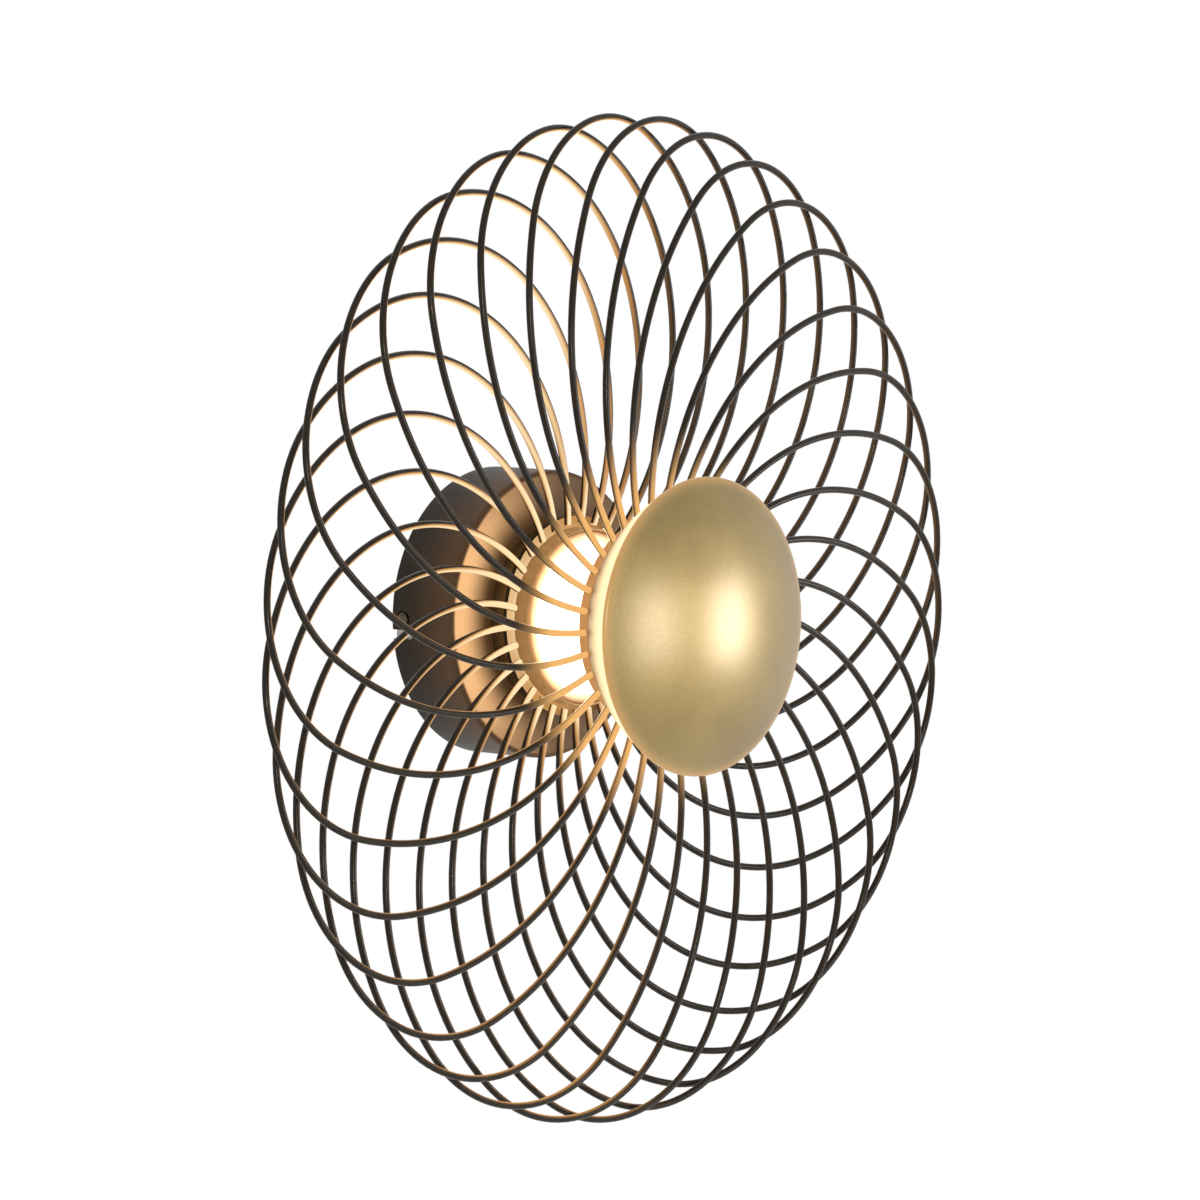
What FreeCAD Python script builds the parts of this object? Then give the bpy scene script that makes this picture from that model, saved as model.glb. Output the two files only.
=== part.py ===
import FreeCAD, Part
import math
import os
import re
import Sketcher

# A wall sconce: a cage of leaning wire loops round a flat disc lamp, with a gold dome in front.
# The wall is the plane y = 0, the lamp looks along -Y, and +Z is up. "Depth" is the distance out
# of the wall, so a point at depth d has y = -d. The origin is the centre of the canopy's back.

os.makedirs("parts", exist_ok=True)
doc = FreeCAD.newDocument("wall_sconce")
sheet = doc.addObject("Spreadsheet::Sheet", "Sizes")

# Driving sizes in millimetres, angles in degrees
SIZES = [
    ("touch_gap", 0.05),            # between pieces that are screwed, pressed or welded together
    ("turn_gap", 0.3),              # between pieces that turn past each other
    ("overrun", 1.0),               # how far a cutting tool runs past what it cuts
    # canopy
    ("canopy_radius", 62.5),
    ("canopy_depth", 35.0),
    ("canopy_wall", 1.5),
    ("canopy_round", 2.5),
    ("canopy_inner_round", 1.0),
    ("side_screw_depth", 6.0),      # of the two side screws, from the wall
    ("side_head_radius", 3.0),
    ("side_head_height", 1.6),
    ("side_shank_radius", 1.9),
    ("side_shank_length", 5.5),
    ("dimple_radius", 3.8),
    ("dimple_deep", 0.9),
    ("notch_top", 4.5),             # how far the notch lies below the side screw
    ("notch_width", 4.0),
    ("notch_deep", 11.0),
    # wall bracket
    ("bracket_thick", 1.5),
    ("bracket_half_width", 10.0),
    ("ear_length", 13.0),
    ("slot_spacing", 76.0),
    ("slot_length", 14.0),
    ("slot_width", 5.0),
    ("tab_half_width", 18.0),
    ("tab_bottom", 33.0),           # how far the tab for the terminal block reaches down
    ("plate_round", 2.0),
    ("cable_hole_radius", 8.5),
    ("bush_bore", 4.5),             # radius
    ("bush_flange", 1.8),           # how far the flange is wider than the hole
    ("bush_front", 2.0),
    ("bush_round", 0.65),
    ("earth_place", 22.0),
    ("earth_head_radius", 3.8),
    ("earth_head_height", 2.4),
    ("earth_shank_radius", 1.95),
    ("washer_radius", 4.8),
    ("washer_thick", 0.8),
    # terminal block
    ("block_half_width", 15.0),
    ("block_top", 14.0),            # below the axis
    ("block_height", 16.0),
    ("block_thick", 12.0),
    ("pole_spacing", 10.0),
    ("pole_depth", 8.5),
    ("tower_radius", 3.4),
    ("tower_height", 2.2),
    ("clamp_spacing", 7.0),
    ("clamp_radius", 1.3),
    ("clamp_sunk", 1.0),
    ("tube_radius", 2.0),
    ("tube_bore", 1.3),
    ("small_head_radius", 2.7),
    ("small_head_height", 1.7),
    ("small_shank_radius", 1.45),
    ("drive_width", 0.7),           # the slot in a screw's head
    ("drive_deep", 0.8),
    # lamp cup
    ("cup_radius", 38.5),
    ("cup_wall", 1.0),
    ("cup_base", 3.0),
    ("cup_height", 21.5),
    ("cup_rim_round", 0.4),
    ("well_hole_radius", 23.5),     # hole through canopy and cup for the holder's well
    ("cup_screw_margin", 8.5),      # how far a cup screw lies inside the cup's outside
    # lamp holder
    ("flange_thick", 6.5),
    ("well_play", 0.5),             # between the well and its hole
    ("well_reach", 9.0),            # behind the flange
    ("well_wall", 1.5),
    ("well_side_wall", 2.5),
    ("pin_margin", 3.5),            # how far a pin lies outside the well
    ("pin_neck_radius", 1.45),
    ("pin_head_radius", 2.7),
    ("pin_head_height", 2.0),
    ("neck_plate", 1.5),            # the holder's wall that the pin heads hook behind
    ("chamber_floor", 2.0),
    ("contact_thick", 0.4),
    ("contact_side", 1.2),          # how much narrower a contact is than its chamber, each side
    ("lamp_turn", 20.0),            # the lamp's twist from locked to free
    ("holder_screw_margin", 7.5),
    ("counterbore", 2.2),
    ("lead_radius", 1.0),
    ("lead_side", 10.0),
    ("lead_top", 6.0),
    ("lead_bend", 9.5),
    ("lead_sunk", 3.0),             # how far a lead goes into its terminal
    # disc lamp
    ("lamp_wall", 1.2),
    ("lamp_floor", 1.5),
    ("boss_play", 0.7),             # between the boss and its well
    ("boss_height", 11.3),
    ("housing_height", 5.2),
    ("diffuser_height", 6.0),       # of its side, without the rise of its face
    ("diffuser_rise", 1.6),
    ("diffuser_round", 1.1),
    ("board_side", 0.5),
    ("board_thick", 1.2),
    ("diode_length", 3.5),
    ("diode_width", 2.8),
    ("diode_height", 0.7),
    ("inner_diode_distance", 13.0),
    ("outer_diode_distance", 26.0),
    ("driver_gap", 0.8),            # between driver and board
    # rings
    ("rear_ring_width", 5.0),
    ("rear_ring_place", 12.0),      # in front of the canopy's face
    ("rear_ring_thick", 2.0),
    ("front_ring_radius", 44.0),
    ("front_ring_wall", 1.2),
    ("ring_spacing", 42.0),
    ("front_ring_height", 4.5),
    # dome lock
    ("lug_reach", 1.9),             # how far the ring's lugs reach inwards
    ("lug_thick", 1.3),
    ("ring_lug_angle", 20.0),
    ("collar_lug_angle", 18.0),
    ("stop_angle", 5.0),
    ("stop_slack", 1.0),            # between a locked lug and its stop, as an angle
    ("collar_wall", 1.2),
    # dome
    ("pan_gap", 0.8),               # between the front ring and the pan
    ("pan_depth", 25.0),
    ("pan_wall", 1.0),
    ("pan_flat_margin", 0.5),       # how far the pan's flat reaches past the front ring
    ("pan_bow_radius", 70.0),
    ("dome_radius", 63.5),
    ("dome_wall", 1.0),
    ("dome_rim_height", 0.9),
    ("dome_rise", 12.9),
    ("dome_rim_round", 0.6),
    # wire loops
    ("wire_radius", 1.5),
    ("rear_end_margin", 2.0),       # how far a wire's rear end lies outside the cup
    ("tip_arc_place", 154.7),       # distance of the tip arc's centre from the axis
    ("tip_radius", 60.3),
    ("rear_flank_radius", 106.0),
    ("front_flank_radius", 144.0),
    ("rear_join_angle", 31.0),      # where the tip arc meets the flanks, from the outward line
    ("front_join_angle", 70.5),
    ("wire_bow", 3.0),              # how far the wire bulges out of an even climb
    ("wire_sway", 3.5),             # and how far it lags in its first half and leads in its second
    ("front_end_gap", 0.1),         # between a wire end and the front ring
    ("front_end_place", 2.8),       # in front of the front ring's back
    ("first_loop_angle", 17.0),
    ("crowding", 2.8),              # the hand-set loops crowd together on one side
    ("crowding_side", 47.0),
    ("second_crowding", 1.0),       # and a little on two opposite sides
    ("second_crowding_side", 121.0),
]
# Depths, radii and distances from the lamp's axis that follow from the sizes
PLACES = {
    "cup_front": "canopy_depth + cup_height",
    "holder_back": "canopy_depth + cup_base",
    "holder_front": "holder_back + flange_thick",
    "well_back": "holder_back - well_reach",
    "lamp_back": "holder_front + turn_gap",
    "boss_back": "lamp_back - boss_height",
    "lamp_floor_front": "lamp_back + lamp_floor",
    "driver_front": "lamp_floor_front - driver_gap",
    "lamp_split": "lamp_back + housing_height",
    "diffuser_edge": "lamp_split + diffuser_height",
    "rear_ring_back": "canopy_depth + rear_ring_place",
    "rear_ring_front": "rear_ring_back + rear_ring_thick",
    "front_ring_back": "rear_ring_front + ring_spacing",
    "front_ring_front": "front_ring_back + front_ring_height",
    "front_end_depth": "front_ring_back + front_end_place",
    "pan_back": "front_ring_front + pan_gap",
    "dome_edge": "pan_back + pan_depth + dome_wall",
    "dome_back": "dome_edge - dome_rim_height",
    "well_radius": "well_hole_radius - well_play",
    "well_bore": "well_radius - well_side_wall",
    "boss_radius": "well_bore - boss_play",
    "pin_distance": "well_radius + pin_margin",
    "cup_screw_distance": "cup_radius - cup_screw_margin",
    "holder_screw_distance": "cup_radius - holder_screw_margin",
    "lamp_radius": "cup_radius - cup_wall - turn_gap",
    "rear_ring_radius": "cup_radius + rear_ring_width",
    "rear_end_radius": "cup_radius + rear_end_margin",
}
LOOPS = 32
RUNS = 10                           # stretches of a wire, each of two arcs
CUP_SCREW_ANGLES = (45, 135, 225, 315)
HOLDER_SCREW_ANGLES = (90, 270)
PIN_ANGLES = (0, 180)
LUG_ANGLES = (90, 210, 330)
INNER_DIODES = 8
OUTER_DIODES = 16
HEAD_ROUND_SHARE = 0.45             # of a screw head's height
TANGENT_STEP_SHARE = 1e-5           # of a wire's length
SAME_PLACE = 1e-4
SAME_WAY = 1e-9

# Ways to turn a primitive or a screw, which are made along +Z or -Y
OUTWARD = FreeCAD.Rotation(FreeCAD.Vector(1, 0, 0), 90)
SIDEWAYS = FreeCAD.Rotation(FreeCAD.Vector(0, 1, 0), 90)
UPRIGHT = FreeCAD.Rotation()
BACKWARD = FreeCAD.Placement(FreeCAD.Vector(), FreeCAD.Rotation(FreeCAD.Vector(0, 0, 1), 180))

for row, (alias, value) in enumerate(SIZES, 1):
    sheet.set("A%d" % row, alias)
    sheet.set("B%d" % row, str(value))
    sheet.setAlias("B%d" % row, alias)
doc.recompute()

NAMES = {alias for alias, value in SIZES}
WORD = re.compile(r"[a-z_]+")
nodes = []


def named(word):
    """One word of a rule as another object has to write it: a size, a place or a function."""
    name = word.group(0)
    if name in PLACES:
        return "(%s)" % qualified(PLACES[name])
    return "Sizes." + name if name in NAMES else name


def qualified(rule):
    """The rule with each of its names written as another object has to write it."""
    return WORD.sub(named, rule)


def size(rule):
    """The value of a rule such as "canopy_radius - canopy_wall"."""
    value = sheet.evalExpression(qualified(rule))
    return float(getattr(value, "Value", value))


def bind(item, prop, rule):
    """Tie one property to a rule."""
    item.setExpression(prop, qualified(rule))


def finish(item, label):
    """Give an object its node's name and list it for writing."""
    item.Label = label
    nodes.append(item)
    return item


def plane(body, role):
    """One of the body's own origin planes."""
    return [feature for feature in body.Origin.OriginFeatures if feature.Role == role][0]


def fix_point(sketch, edge, end, across, up):
    """Hold one end of a sketch edge at a place given by two rules."""
    for kind, axis, rule in (("DistanceX", -2, across), ("DistanceY", -1, up)):
        if rule == "0":
            sketch.addConstraint(Sketcher.Constraint("PointOnObject", edge, end, axis))
        else:
            number = sketch.addConstraint(Sketcher.Constraint(kind, -1, 1, edge, end, size(rule)))
            bind(sketch, "Constraints[%d]" % number, rule)


def cap_centre(near, far):
    """Where on the axis an arc through both points has its centre."""
    top = near.x ** 2 + near.y ** 2 - far.x ** 2 - far.y ** 2
    return FreeCAD.Vector(0, top / (2 * (near.y - far.y)), 0)


def bow_centre(near, far, radius):
    """The centre of an arc of a given radius that bows to the right of near to far."""
    middle = (near + far) * 0.5
    chord = far - near
    side = FreeCAD.Vector(-chord.y, chord.x, 0).normalize()
    return middle + side * math.sqrt(radius ** 2 - (chord.Length / 2) ** 2)


def outline_edges(sketch, outline):
    """Draw an outline of corners (across, up, form of the edge to the next corner)."""
    corners = [FreeCAD.Vector(size(corner[0]), size(corner[1]), 0) for corner in outline]
    ends = []
    for near, far, corner in zip(corners, corners[1:] + corners[:1], outline):
        if len(corner) == 2:
            sketch.addGeometry(Part.LineSegment(near, far))
            ends.append((1, 2))
            continue
        form = corner[2]
        if form == "cap":
            centre = cap_centre(near, far)
        elif form.startswith("-"):
            centre = bow_centre(far, near, size(form[1:]))
        else:
            centre = bow_centre(near, far, size(form))
        start = math.atan2(near.y - centre.y, near.x - centre.x)
        stop = math.atan2(far.y - centre.y, far.x - centre.x)
        forward = (stop - start) % (2 * math.pi) < math.pi
        circle = Part.Circle(centre, FreeCAD.Vector(0, 0, 1), (near - centre).Length)
        arc = Part.ArcOfCircle(circle, start, stop) if forward else Part.ArcOfCircle(circle, stop, start)
        sketch.addGeometry(arc)
        ends.append((1, 2) if forward else (2, 1))
    count = len(outline)
    for edge in range(count):
        other = (edge + 1) % count
        sketch.addConstraint(Sketcher.Constraint("Coincident", edge, ends[edge][1], other, ends[other][0]))
    for edge, corner in enumerate(outline):
        fix_point(sketch, edge, ends[edge][0], corner[0], corner[1])
        if len(corner) == 3 and corner[2] == "cap":
            sketch.addConstraint(Sketcher.Constraint("PointOnObject", edge, 3, -2))
        elif len(corner) == 3:
            rule = corner[2].lstrip("-")
            number = sketch.addConstraint(Sketcher.Constraint("Radius", edge, size(rule)))
            bind(sketch, "Constraints[%d]" % number, rule)


def turned(label, outline, rounds=()):
    """A body turned about the lamp's axis from corners (radius, depth), some edges rounded."""
    body = doc.addObject("PartDesign::Body", label + "_body")
    sketch = body.newObject("Sketcher::SketchObject", label + "_outline")
    sketch.AttachmentSupport = (plane(body, "XY_Plane"), "")
    sketch.MapMode = "FlatFace"
    half_turn = FreeCAD.Rotation(FreeCAD.Vector(1, 0, 0), 180)
    sketch.AttachmentOffset = FreeCAD.Placement(FreeCAD.Vector(), half_turn)
    outline_edges(sketch, outline)
    turn = body.newObject("PartDesign::Revolution", label + "_turn")
    turn.Profile = sketch
    turn.ReferenceAxis = (sketch, ["V_Axis"])
    turn.Angle = 360
    sketch.Visibility = False
    doc.recompute()
    for number, (radius, depth, amount) in enumerate(rounds):
        base = body.Tip
        edges = [
            "Edge%d" % (index + 1)
            for index, edge in enumerate(base.Shape.Edges)
            if not edge.Degenerated and isinstance(edge.Curve, Part.Circle)
            and abs(edge.Curve.Radius - size(radius)) < SAME_PLACE
            and abs(edge.Curve.Center.y + size(depth)) < SAME_PLACE
        ]
        fillet = body.newObject("PartDesign::Fillet", "%s_round_%d" % (label, number + 1))
        fillet.Base = (base, edges)
        bind(fillet, "Radius", amount)
        doc.recompute()
    return body


def place(item, across, depth, up, rotation=FreeCAD.Rotation()):
    """Put a primitive at a place given by rules."""
    item.Placement = FreeCAD.Placement(FreeCAD.Vector(), rotation)
    bind(item, "Placement.Base.x", across)
    bind(item, "Placement.Base.y", "-(%s)" % depth)
    bind(item, "Placement.Base.z", up)


def rod(name, radius, back, front, across="0", up="0"):
    """A cylinder that stands out of the wall's plane from one depth to another."""
    item = doc.addObject("Part::Cylinder", name)
    bind(item, "Radius", radius)
    bind(item, "Height", "(%s) - (%s)" % (front, back))
    place(item, across, back, up, OUTWARD)
    return item


def cross_rod(name, radius, length, across, depth, up, rotation):
    """A cylinder along X or Z from a given place."""
    item = doc.addObject("Part::Cylinder", name)
    bind(item, "Radius", radius)
    bind(item, "Height", length)
    place(item, across, depth, up, rotation)
    return item


def block(name, left, right, back, front, bottom, top):
    """A box between two rules each way."""
    item = doc.addObject("Part::Box", name)
    bind(item, "Length", "(%s) - (%s)" % (right, left))
    bind(item, "Width", "(%s) - (%s)" % (front, back))
    bind(item, "Height", "(%s) - (%s)" % (top, bottom))
    place(item, left, front, bottom)
    return item


def sector(name, inner, outer, back, front, middle, angle):
    """A piece of a ring about the lamp's axis: rules for its sizes, its middle angle and its width."""
    ring = doc.addObject("Part::Cylinder", name + "_outer")
    bind(ring, "Radius", outer)
    bind(ring, "Height", "(%s) - (%s)" % (front, back))
    bind(ring, "Angle", angle)
    turn = FreeCAD.Rotation(FreeCAD.Vector(0, 1, 0), -(size(middle) - size(angle) / 2))
    place(ring, "0", back, "0", turn.multiply(OUTWARD))
    core = rod(name + "_core", inner, "(%s) - overrun" % back, "(%s) + overrun" % front)
    return cut(name, ring, [core])


def joined(name, items):
    """One solid of several."""
    item = doc.addObject("Part::MultiFuse", name)
    item.Shapes = items
    item.Refine = True
    return item


def cut(name, blank, tools):
    """A solid with tools cut out of it."""
    item = doc.addObject("Part::Cut", name)
    item.Base = blank
    item.Tool = tools[0] if len(tools) == 1 else joined(name + "_tools", tools)
    return item


def screw(name, head_radius, head_height, shank_radius, length):
    """A slotted pan-head screw with its seat at the origin and its head towards the room."""
    head = rod(name + "_head", head_radius, "0", head_height)
    shank = rod(name + "_shank", shank_radius, "-(%s)" % length, "0")
    half = "drive_width / 2"
    wide = "(%s) + overrun" % head_radius
    slot = block(
        name + "_slot", "-(%s)" % wide, wide, "(%s) - drive_deep" % head_height,
        "(%s) + overrun" % head_height, "-(%s)" % half, half,
    )
    rounded = doc.addObject("Part::Fillet", name + "_rounded")
    rounded.Base = head
    doc.recompute()
    front = [
        index + 1 for index, edge in enumerate(head.Shape.Edges)
        if len(edge.Vertexes) == 1 and abs(edge.CenterOfMass.y + size(head_height)) < SAME_PLACE
    ]
    amount = size(head_height) * HEAD_ROUND_SHARE
    rounded.Edges = [(index, amount, amount) for index in front]
    return cut(name, joined(name + "_blank", [rounded, shank]), [slot])


def copies(label, piece, placements):
    """Identical pieces as one node, each a separate solid."""
    links = []
    for number, placement in enumerate(placements, 1):
        link = doc.addObject("App::Link", "%s_%d" % (label, number))
        link.LinkedObject = piece
        link.Placement = placement
        links.append(link)
    group = doc.addObject("Part::Compound", label + "_group")
    group.Links = links
    return finish(group, label)


def around(radius, depth, angle, spin=0.0):
    """The placement of a piece at a radius and angle about the lamp's axis, looking outwards."""
    turn = math.radians(angle)
    spot = FreeCAD.Vector(size(radius) * math.cos(turn), -size(depth), size(radius) * math.sin(turn))
    return FreeCAD.Placement(spot, FreeCAD.Rotation(FreeCAD.Vector(0, 1, 0), spin))


def polar(radius, angle):
    """Rules for the place of a point at a radius and angle about the lamp's axis."""
    return "(%s) * cos(%s)" % (radius, angle), "(%s) * sin(%s)" % (radius, angle)


# Canopy: a spun can with a hole in its face, a dimple and a notch on each side
def make_canopy():
    inner = "canopy_radius - canopy_wall"
    face = "canopy_depth - canopy_wall"
    blank = turned("canopy", [
        ("canopy_radius", "0"), ("canopy_radius", "canopy_depth"), ("well_hole_radius", "canopy_depth"),
        ("well_hole_radius", face), (inner, face), (inner, "0"),
    ], [("canopy_radius", "canopy_depth", "canopy_round"), (inner, face, "canopy_inner_round")])
    tools = []
    for angle in CUP_SCREW_ANGLES:
        across, up = polar("cup_screw_distance", angle)
        tools.append(rod("canopy_hole_%d" % angle, "small_shank_radius + touch_gap", "%s - overrun" % face,
                         "canopy_depth + overrun", across, up))
    bore = "side_shank_radius + touch_gap"
    tools.append(cross_rod("canopy_side_bore", bore, "2 * (canopy_radius + overrun)",
                           "-(canopy_radius + overrun)", "side_screw_depth", "0", SIDEWAYS))
    tools.append(block("canopy_notch", "-(canopy_radius + overrun)", "canopy_radius + overrun", "-overrun",
                       "notch_deep", "-(notch_top + notch_width)", "-notch_top"))
    for name, start in (("left", "-(canopy_radius + overrun)"), ("right", "canopy_radius - dimple_deep")):
        tools.append(cross_rod("canopy_dimple_" + name, "dimple_radius", "dimple_deep + overrun", start,
                               "side_screw_depth", "0", SIDEWAYS))
    finish(cut("canopy_cut", blank, tools), "canopy")
    side = screw("side_screw", "side_head_radius", "side_head_height", "side_shank_radius",
                 "side_shank_length")
    spots = []
    seat = size("canopy_radius - dimple_deep + touch_gap")
    for way in (-1, 1):
        spot = FreeCAD.Vector(way * seat, -size("side_screw_depth"), 0)
        spots.append(FreeCAD.Placement(spot, FreeCAD.Rotation(FreeCAD.Vector(0, 0, 1), way * 90)))
    copies("canopy_screws", side, spots)


# Wall bracket: a strap with slots, a tab for the terminal block and two bent ears
def make_bracket():
    ear_outer = "canopy_radius - canopy_wall - turn_gap"
    reach = "sqrt((%s) * (%s) - bracket_half_width * bracket_half_width)" % (ear_outer, ear_outer)
    half = "bracket_half_width"
    body = doc.addObject("PartDesign::Body", "bracket_body")
    sketch = body.newObject("Sketcher::SketchObject", "bracket_outline")
    sketch.AttachmentSupport = (plane(body, "XZ_Plane"), "")
    sketch.MapMode = "FlatFace"
    outline_edges(sketch, [
        ("-(%s)" % reach, "-" + half), ("-tab_half_width", "-" + half), ("-tab_half_width", "-tab_bottom"),
        ("tab_half_width", "-tab_bottom"), ("tab_half_width", "-" + half), (reach, "-" + half),
        (reach, half), ("-(%s)" % reach, half),
    ])
    plate = body.newObject("PartDesign::Pad", "bracket_plate")
    plate.Profile = sketch
    bind(plate, "Length", "bracket_thick")
    sketch.Visibility = False
    doc.recompute()
    corners = [
        "Edge%d" % (index + 1) for index, edge in enumerate(plate.Shape.Edges)
        if abs(edge.CenterOfMass.z + size("tab_bottom")) < SAME_PLACE
        and edge.BoundBox.YLength > edge.BoundBox.XLength
    ]
    rounded = body.newObject("PartDesign::Fillet", "bracket_corners")
    rounded.Base = (plate, corners)
    bind(rounded, "Radius", "plate_round")
    ears = [
        block("bracket_ear_left", "-(%s)" % reach, "bracket_thick - (%s)" % reach, "0", "ear_length",
              "-" + half, half),
        block("bracket_ear_right", "(%s) - bracket_thick" % reach, reach, "0", "ear_length",
              "-" + half, half),
    ]
    tools = []
    for way in ("-", ""):
        middle = "%s(slot_spacing / 2)" % way
        run = "(slot_length - slot_width) / 2"
        tag = "left" if way else "right"
        tools.append(block("bracket_slot_" + tag, "%s - %s" % (middle, run), "%s + %s" % (middle, run),
                           "-overrun", "bracket_thick + overrun", "-(slot_width / 2)", "slot_width / 2"))
        for sign, end in (("-", "in"), ("+", "out")):
            tools.append(rod("bracket_slot_%s_%s" % (tag, end), "slot_width / 2", "-overrun",
                             "bracket_thick + overrun", "%s %s %s" % (middle, sign, run)))
    tools.append(rod("bracket_cable_hole", "cable_hole_radius", "-overrun", "bracket_thick + overrun"))
    tools.append(rod("bracket_earth_hole", "earth_shank_radius + touch_gap", "-overrun",
                     "bracket_thick + overrun", "-earth_place"))
    tools.append(rod("bracket_block_hole", "small_shank_radius + touch_gap", "-overrun",
                     "bracket_thick + overrun", "pole_spacing / 2", "-(block_top + block_height / 2)"))
    tools.append(cross_rod("bracket_ear_bore", "side_shank_radius + touch_gap",
                           "2 * (canopy_radius + overrun)", "-(canopy_radius + overrun)",
                           "side_screw_depth", "0", SIDEWAYS))
    finish(cut("bracket_cut", joined("bracket_blank", [body] + ears), tools), "wall_bracket")

    outer = "cable_hole_radius - touch_gap"
    bush = turned("cable_bush", [
        ("bush_bore", "touch_gap"), (outer, "touch_gap"), (outer, "bracket_thick"),
        ("cable_hole_radius + bush_flange", "bracket_thick"),
        ("cable_hole_radius + bush_flange", "bracket_thick + bush_front"),
        ("bush_bore", "bracket_thick + bush_front"),
    ], [
        ("cable_hole_radius + bush_flange", "bracket_thick + bush_front", "bush_round"),
        ("bush_bore", "bracket_thick + bush_front", "bush_round"),
    ])
    finish(bush, "cable_bush")

    washer = rod("washer_disc", "washer_radius", "bracket_thick", "bracket_thick + washer_thick",
                 "-earth_place")
    hole = rod("washer_hole", "earth_shank_radius + touch_gap", "0", "2 * bracket_thick + washer_thick",
               "-earth_place")
    finish(cut("washer_cut", washer, [hole]), "earth_washer")
    earth = screw("earth", "earth_head_radius", "earth_head_height", "earth_shank_radius",
                  "bracket_thick + washer_thick - touch_gap")
    spot = FreeCAD.Vector(-size("earth_place"), -size("bracket_thick + washer_thick"), 0)
    copies("earth_screw", earth, [FreeCAD.Placement(spot, FreeCAD.Rotation())])


# Terminal block with its brass tubes and clamp screws, on the bracket's tab
def make_terminals():
    top = "-block_top"
    bottom = "-(block_top + block_height)"
    middle = "-(block_top + block_height / 2)"
    back = "bracket_thick"
    front = "bracket_thick + block_thick"
    poles = ["-pole_spacing", "0", "pole_spacing"]
    solids = [block("block_base", "-block_half_width", "block_half_width", back, front, bottom, top)]
    tools = []
    tubes = []
    clamps = []
    clamp = screw("clamp", "clamp_radius", "tower_height - clamp_sunk", "clamp_radius",
                  "bracket_thick + block_thick - pole_depth - tube_bore - touch_gap")
    for number, across in enumerate(poles, 1):
        tools.append(cross_rod("block_bore_%d" % number, "tube_radius + touch_gap",
                               "block_height + 2 * overrun", across, "pole_depth", "%s - overrun" % bottom,
                               UPRIGHT))
        tube = cross_rod("tube_%d" % number, "tube_radius", "block_height - 2 * clamp_sunk", across,
                         "pole_depth", "%s + clamp_sunk" % bottom, UPRIGHT)
        bores = [cross_rod("tube_bore_%d" % number, "tube_bore", "block_height", across, "pole_depth", bottom,
                           UPRIGHT)]
        for sign in ("-", "+"):
            tag = "%d_%s" % (number, "low" if sign == "-" else "high")
            up = "%s %s clamp_spacing / 2" % (middle, sign)
            solids.append(rod("tower_" + tag, "tower_radius", back, "%s + tower_height" % front, across, up))
            tools.append(rod("clamp_well_" + tag, "clamp_radius + touch_gap", "pole_depth",
                             "%s + tower_height + overrun" % front, across, up))
            bores.append(rod("tube_thread_" + tag, "clamp_radius + touch_gap", "pole_depth",
                             "pole_depth + tube_radius + overrun", across, up))
            spot = FreeCAD.Vector(size(across), -size(front), size(up))
            clamps.append(FreeCAD.Placement(spot, FreeCAD.Rotation()))
        tubes.append(cut("tube_cut_%d" % number, tube, bores))
    fixing_across = "pole_spacing / 2"
    tools.append(rod("fixing_hole", "small_shank_radius + touch_gap", "%s - overrun" % back,
                     "%s + overrun" % front, fixing_across, middle))
    finish(cut("block_cut", joined("block_solid", solids), tools), "terminal_block")
    group = doc.addObject("Part::Compound", "terminal_tubes_group")
    group.Links = tubes
    finish(group, "terminal_tubes")
    copies("terminal_screws", clamp, clamps)
    fixing = screw("fixing", "small_head_radius", "small_head_height", "small_shank_radius",
                   "bracket_thick + block_thick - touch_gap")
    spot = FreeCAD.Vector(size(fixing_across), -size(front), size(middle))
    copies("terminal_fixing", fixing, [FreeCAD.Placement(spot, FreeCAD.Rotation())])


# Lamp cup on the canopy's face, and the screws that hold it from behind
def make_cup():
    inner = "cup_radius - cup_wall"
    blank = turned("cup", [
        ("well_hole_radius", "canopy_depth"), ("cup_radius", "canopy_depth"), ("cup_radius", "cup_front"),
        (inner, "cup_front"), (inner, "holder_back"), ("well_hole_radius", "holder_back"),
    ], [("cup_radius", "cup_front", "cup_rim_round"), (inner, "cup_front", "cup_rim_round")])
    tools = []
    for angle in CUP_SCREW_ANGLES:
        across, up = polar("cup_screw_distance", angle)
        tools.append(rod("cup_hole_%d" % angle, "small_shank_radius + touch_gap", "canopy_depth - overrun",
                         "holder_back + overrun", across, up))
    for angle in HOLDER_SCREW_ANGLES:
        across, up = polar("holder_screw_distance", angle)
        tools.append(rod("cup_holder_hole_%d" % angle, "small_shank_radius + touch_gap",
                         "canopy_depth - overrun", "holder_back + overrun", across, up))
    finish(cut("cup_cut", blank, tools), "lamp_cup")
    fixing = screw("cup_screw", "small_head_radius", "small_head_height", "small_shank_radius",
                   "canopy_wall + cup_base - touch_gap")
    seat = "canopy_depth - canopy_wall"
    copies("cup_screws", fixing, [around("cup_screw_distance", seat, angle).multiply(BACKWARD)
                                  for angle in CUP_SCREW_ANGLES])


def arc_slot(name, width, back, front, angle, swing):
    """A slot with round ends on the pin circle, from an angle on through the lamp's twist."""
    inner = "pin_distance - (%s)" % width
    outer = "pin_distance + (%s)" % width
    middle = "%s + (%s) / 2" % (angle, swing)
    pieces = [sector(name + "_arc", inner, outer, back, front, middle, swing)]
    for tag, turn in (("near", str(angle)), ("far", "%s + %s" % (angle, swing))):
        across, up = polar("pin_distance", turn)
        pieces.append(rod("%s_%s" % (name, tag), width, back, front, across, up))
    return joined(name, pieces)


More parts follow.
